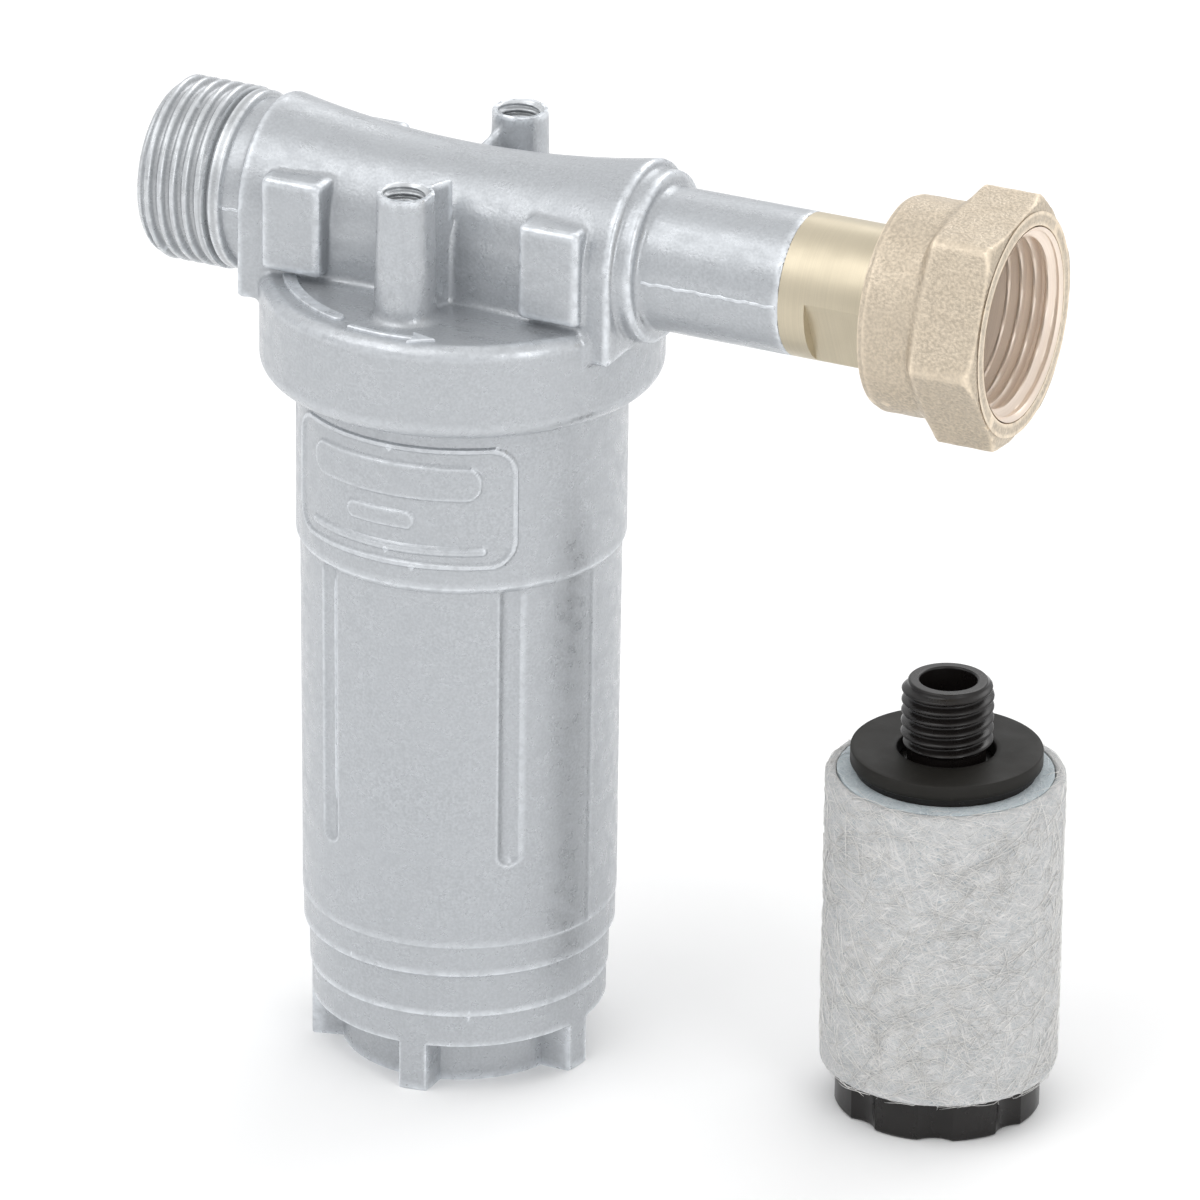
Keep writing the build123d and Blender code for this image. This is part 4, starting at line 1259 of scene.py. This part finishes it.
@dataclass
class Cartridge:
    """A fleece filter cartridge: threaded fitting, seal disc, two fleece layers and its end cap."""

    prefix: str
    body: str
    seal_body: str
    seed: int
    fibres: int
    stub_radius: float = 5.0
    stub_bore: float = 3.1
    flange_radius: float = 9.8
    seal_radius: float = 10.45
    skirt: tuple[float, float] = (4.4, 5.25)

    def node(self, part: str) -> str:
        """The CAD node's name for a part of this cartridge."""
        return f"{self.prefix}_{part}"

    @property
    def outer(self) -> Box:
        """Box of the outer fleece."""
        return Box.of(self.node("outer_fleece"))

    def centre(self) -> tuple[float, float, float]:
        """The cartridge's own axis on the floor plane."""
        x, y, _ = self.outer.middle
        return float(x), float(y), 0.0

    def seal(self) -> float:
        """Height of the seal disc's top face, where the stub starts."""
        return float(Box.of(self.node("seal_disc")).high[2])

    def build(self) -> None:
        """Make every piece of the cartridge."""
        self.build_fitting()
        self.build_seal_disc()
        self.build_fleece()
        self.build_fibres()
        keep(self.node("end_cap"), PLASTIC)
        keep(self.node("support_tube"), PLASTIC)

    def build_fitting(self) -> None:
        """Stub with its thread, flange and skirt, turned from one profile."""
        box = Box.of(self.node("end_fitting"))
        top, seat, bottom = box.high[2], self.seal(), box.low[2]
        flange_top = Box.of(self.node("seal_disc")).low[2]
        flange_bottom = self.outer.high[2]
        radius, bore = self.stub_radius, self.stub_bore
        inner, outer = self.skirt
        corners = [
            (inner, bottom),
            (outer, bottom),
            (outer, flange_bottom),
            (self.flange_radius, flange_bottom),
            (self.flange_radius, flange_top),
            (radius - 0.75, flange_top),
            (radius - 0.75, seat + 0.3),
            (radius, seat + 0.9),
            (radius, top - 0.8),
            (radius - 0.75, top - 0.05),
            (radius - 0.85, top),
            (bore + 0.15, top),
            (bore, top - 0.15),
            (bore, flange_bottom),
            (inner, flange_bottom),
        ]
        thread = Thread(1.25, 0.74, seat + 0.2, top + 0.4, flat=0.1)
        relief = lambda a, h, r: np.where(
            (r > radius - 0.72) & (h > seat + 0.3) & (h < top - 0.02),
            thread.relief(a, h, r) * np.clip((r - radius + 0.72) / 0.72, 0, 1),
            0,
        )
        wall = fine_profile(corners, 0.11)[:-1]
        piece = turned(self.node("threaded_fitting"), wall, self.centre(), 160, Way.UP, relief, 60.0)
        fit(piece, self.body, PLASTIC, self.node("end_fitting"))

    def build_seal_disc(self) -> None:
        """Rubber disc with softened edges and a very slight waviness."""
        box = Box.of(self.node("seal_disc"))
        low, high = box.low[2], box.high[2]
        inner, outer = self.stub_radius + 0.35, self.seal_radius
        corners = [
            (inner, low + 0.1),
            (inner + 0.1, low),
            (outer - 0.12, low),
            (outer, low + 0.12),
            (outer, high - 0.14),
            (outer - 0.04, high - 0.04),
            (outer - 0.14, high),
            (inner + 0.1, high),
            (inner, high - 0.1),
        ]
        ripple = lambda a, h, r: np.where(r > outer - 0.2, 0.04 * np.sin(3 * a) - 0.04, 0)
        wall = fine_profile(corners, 0.5)[:-1]
        piece = turned(self.node("rubber_disc"), wall, self.centre(), 128, Way.UP, ripple, 50.0)
        fit(piece, self.seal_body, RUBBER, self.node("seal_disc"))

    def tangle(self, angle: Array, height: Array, seed: int) -> Array:
        """Smooth seeded bumps from a sum of waves that go round and along the sleeve."""
        rng = np.random.default_rng(seed)
        total = np.zeros_like(angle * height)
        for _ in range(36):
            around = int(rng.integers(4, 44))
            along = rng.uniform(-1.4, 1.4) * rng.uniform(0.3, 1.0)
            shift = rng.uniform(0, TURN)
            weight = 1 / math.hypot(around / 13, along * 2 + 0.5)
            total += weight * np.sin(around * angle + along * height * 2 + shift)
        return total / 9

    def sleeve(self, part: str, inner: float, outer: float, lift: tuple[float, float], swell: float) -> Array:
        """Profile of a fleece sleeve with rounded rims, kept inside its box.

        Args:
            part: The CAD node that gives the height.
            inner: Inner radius.
            outer: Outer radius.
            lift: How far the bottom and the top draw in.
            swell: Rounding of the rims.

        Returns:
            A closed outline of radius and height.
        """
        box = Box.of(self.node(part))
        low, high = box.low[2] + lift[0], box.high[2] - lift[1]
        quarter = np.linspace(0, math.pi / 2, 7)
        bottom = [(outer - swell + swell * math.sin(a), low + swell - swell * math.cos(a)) for a in quarter]
        top = [(outer - swell + swell * math.cos(a), high - swell + swell * math.sin(a)) for a in quarter]
        corners = [(inner, low), *bottom, *top, (inner, high)]
        return fine_profile(corners, 0.45)[:-1]

    def build_fleece(self) -> None:
        """The outer wrap, loose and uneven, and the denser inner layer that shows above it."""
        middle = self.outer.middle
        inner_box = Box.of(self.node("inner_fleece"))
        split = float(inner_box.high[0] - middle[0])
        outside = float(self.outer.high[0] - middle[0])
        bore = self.skirt[1] + 0.1
        lumps = lambda a, h, r: np.where(
            r > split + 0.3, -0.2 + 0.1 * self.tangle(a, h, self.seed) - 0.06 * np.abs(self.tangle(a, h * 2.1, self.seed + 5)), 0
        )
        dense = lambda a, h, r: np.where(r > bore + 2, -0.12 + 0.1 * self.tangle(a, h, self.seed + 9), 0)
        wrap = turned(
            self.node("outer_wrap"),
            self.sleeve("outer_fleece", split + 0.01, outside, (0.05, 0.12), 0.5),
            self.centre(),
            300,
            Way.UP,
            lumps,
            180.0,
        )
        unroll(wrap, self.centre())
        fit(wrap, self.body, OUTER_FELT, self.node("outer_fleece"))
        core = turned(
            self.node("inner_layer"),
            self.sleeve("inner_fleece", bore, split - 0.01, (0.05, 0.02), 0.12),
            self.centre(),
            200,
            Way.UP,
            dense,
            180.0,
        )
        unroll(core, self.centre())
        fit(core, self.body, INNER_FELT, self.node("inner_fleece"))

    def build_fibres(self) -> None:
        """Loose fibres on the wrap: thin tapered tubes along gentle arcs that hug the sleeve.

        Each fibre starts at a random place, runs at a random slant round the sleeve, and stands off
        it most in its middle. All fibres are worked out together as one array.
        """
        rng = np.random.default_rng(self.seed + 100)
        count, joints, sides = self.fibres, 9, 3
        box, outside = self.outer, float(self.outer.high[0] - self.outer.middle[0])
        share = np.linspace(0, 1, joints)[None, :]
        slant = rng.normal(0, 0.75, (count, 1))
        length = rng.uniform(3, 13, (count, 1))
        bend = rng.normal(0, 1.6, (count, 1))
        curl = rng.uniform(0, TURN, (count, 1))
        angle = rng.uniform(0, TURN, (count, 1)) + length * np.cos(slant) * (share - 0.5) / outside
        height = rng.uniform(box.low[2] + 0.2, box.high[2] - 0.3, (count, 1)) + length * np.sin(slant) * (share - 0.5)
        height = height + bend * np.sin(math.pi * share) + 0.22 * np.sin(share * 11 + curl)
        radius = outside - 0.32 + rng.uniform(0.05, 0.3, (count, 1)) * np.sin(math.pi * share)
        over = np.maximum(height - box.high[2] + 0.35, 0)
        radius = radius - 0.3 * np.clip(over / 0.35, 0, 1) - 0.75 * np.clip(over - 0.35, 0, 2.2)
        lowest = box.low[2] + rng.uniform(-0.4, 0.9, (count, 1)) + 0.3 * np.cos(share * 5 + curl)
        height = np.maximum(height, np.maximum(lowest, box.low[2] - 0.45))
        height = np.minimum(height, box.high[2] - 0.02 + 0.1 * np.sin(math.pi * share))
        radius = radius - 0.25 * np.clip(1 - (height - box.low[2]) / 0.8, 0, 1)
        cx, cy, _ = self.centre()
        path = np.stack([cx + radius * np.cos(angle), cy + radius * np.sin(angle), height], axis=-1)
        thick = rng.uniform(0.025, 0.05, (count, 1)) * (0.25 + 0.75 * np.sin(math.pi * share) ** 0.5)
        out = np.stack([np.cos(angle), np.sin(angle), 0 * angle], axis=-1)
        run = np.gradient(path, axis=1)
        run /= np.linalg.norm(run, axis=-1, keepdims=True)
        side = np.cross(run, out)
        turn = np.arange(sides) * TURN / sides
        ring = out[:, :, None] * np.cos(turn)[None, None, :, None] + side[:, :, None] * np.sin(turn)[None, None, :, None]
        points = (path[:, :, None] + ring * thick[:, :, None, None]).reshape(-1, 3)
        piece = make_object(self.node("loose_fibres"), points, self.tube_faces(count, joints, sides), 180.0)
        fit(piece, self.body, LIT_LOOSE_FIBRE, self.node("outer_fleece"))

    @staticmethod
    def tube_faces(count: int, joints: int, sides: int) -> list:
        """Quads along every tube, and a cap at each end."""
        tube, joint, side = np.meshgrid(np.arange(count), np.arange(joints - 1), np.arange(sides), indexing="ij")
        first = (tube * joints + joint) * sides
        ahead = (side + 1) % sides
        quads = np.stack([first + side, first + sides + side, first + sides + ahead, first + ahead], axis=-1).reshape(-1, 4)
        starts = np.arange(count)[:, None] * joints * sides
        caps = np.arange(sides)[None, :]
        return quads.tolist() + (starts + caps).tolist() + (starts + (joints - 1) * sides + caps[:, ::-1]).tolist()


# ---- studio ------------------------------------------------------------------------------------


@dataclass(frozen=True)
class Lamp:
    """One soft rectangular light that looks at the object."""

    name: str
    place: tuple[float, float, float]
    size: tuple[float, float]
    power: float

    def build(self) -> None:
        """Put the light in the scene, turned towards the object's middle."""
        data = bpy.data.lights.new(self.name, "AREA")
        data.shape = "RECTANGLE"
        data.size, data.size_y = self.size
        data.energy = self.power
        lamp = bpy.data.objects.new(self.name, data)
        bpy.context.scene.collection.objects.link(lamp)
        lamp.location = self.place
        towards = Vector((0.01, 0.0, 0.055)) - Vector(self.place)
        lamp.rotation_euler = towards.to_track_quat("-Z", "Y").to_euler()


@dataclass
class Studio:
    """Camera, floor, world and lights."""

    place: tuple[float, float, float] = (0.4270, -0.8636, 0.4811)
    forward: tuple[float, float, float] = (-0.3920, 0.8250, -0.4070)
    up: tuple[float, float, float] = (-0.1853, 0.3626, 0.9134)
    lens: float = 291.73
    floor_half: float = 3.0
    world: float = 0.92
    lamps: tuple[Lamp, ...] = (
        Lamp("key", (-0.36, -0.55, 0.95), (0.9, 0.8), 3.2),
        Lamp("fill", (0.85, -0.50, 0.40), (0.3, 0.9), 1.7),
        Lamp("back", (0.1, 0.8, 0.7), (0.9, 0.4), 2.6),
    )

    def build_camera(self) -> None:
        """Camera a metre away with a long lens, with a slight roll."""
        data = bpy.data.cameras.new("camera")
        data.lens = self.lens
        data.sensor_width = 36.0
        data.clip_start, data.clip_end = 0.05, 20.0
        camera = bpy.data.objects.new("camera", data)
        bpy.context.scene.collection.objects.link(camera)
        back = -Vector(self.forward).normalized()
        side = Vector(self.up).cross(back).normalized()
        turn = Matrix((side, back.cross(side), back)).transposed()
        camera.matrix_world = Matrix.Translation(self.place) @ turn.to_4x4()
        bpy.context.scene.camera = camera

    def build_light(self) -> None:
        """An even white world and three soft lamps, shown without a film curve."""
        scene = bpy.context.scene
        scene.view_settings.view_transform = "Standard"
        scene.view_settings.look = "None"
        scene.world = scene.world or bpy.data.worlds.new("studio")
        scene.world.use_nodes = True
        nodes, links = scene.world.node_tree.nodes, scene.world.node_tree.links
        nodes.clear()
        output = nodes.new("ShaderNodeOutputWorld")
        background = nodes.new("ShaderNodeBackground")
        ramp = nodes.new("ShaderNodeValToRGB")
        split = nodes.new("ShaderNodeSeparateXYZ")
        direction = nodes.new("ShaderNodeTexCoord")
        links.new(direction.outputs["Generated"], split.inputs[0])
        links.new(split.outputs["Z"], ramp.inputs[0])
        ramp.color_ramp.elements[0].color = (0.80, 0.81, 0.83, 1)
        ramp.color_ramp.elements[1].color = (1.0, 1.0, 1.0, 1)
        ramp.color_ramp.elements[1].position = 0.5
        links.new(ramp.outputs[0], background.inputs["Color"])
        background.inputs["Strength"].default_value = self.world
        links.new(background.outputs[0], output.inputs[0])
        for lamp in self.lamps:
            lamp.build()

    def build_floor(self) -> None:
        """A plain near-white floor."""
        half = self.floor_half
        mesh = bpy.data.meshes.new("floor")
        mesh.from_pydata([(-half, -half, 0), (half, -half, 0), (half, half, 0), (-half, half, 0)], [], [(0, 1, 2, 3)])
        floor = bpy.data.objects.new("floor", mesh)
        bpy.context.scene.collection.objects.link(floor)
        recipe = Recipe("pale_floor")
        tone = recipe.blend(recipe.noise(120.0), (0.93, 0.93, 0.93), (0.95, 0.95, 0.95))
        recipe.feed(Base_Color=tone, Roughness=0.9)
        mesh.materials.append(recipe.material)


def main() -> None:
    """Build the studio and every sub-assembly."""
    logging.basicConfig(level=logging.INFO, format="%(message)s")
    studio = Studio()
    studio.build_camera()
    Head().build()
    Cup().build()
    Outlet().build()
    Cartridge("cartridge", "cartridge", "cartridge_seal", 3, 60).build()
    Cartridge("spare", "spare_cartridge", "spare_cartridge", 11, 2400).build()
    studio.build_light()
    studio.build_floor()


if __name__ == "__main__":
    main()
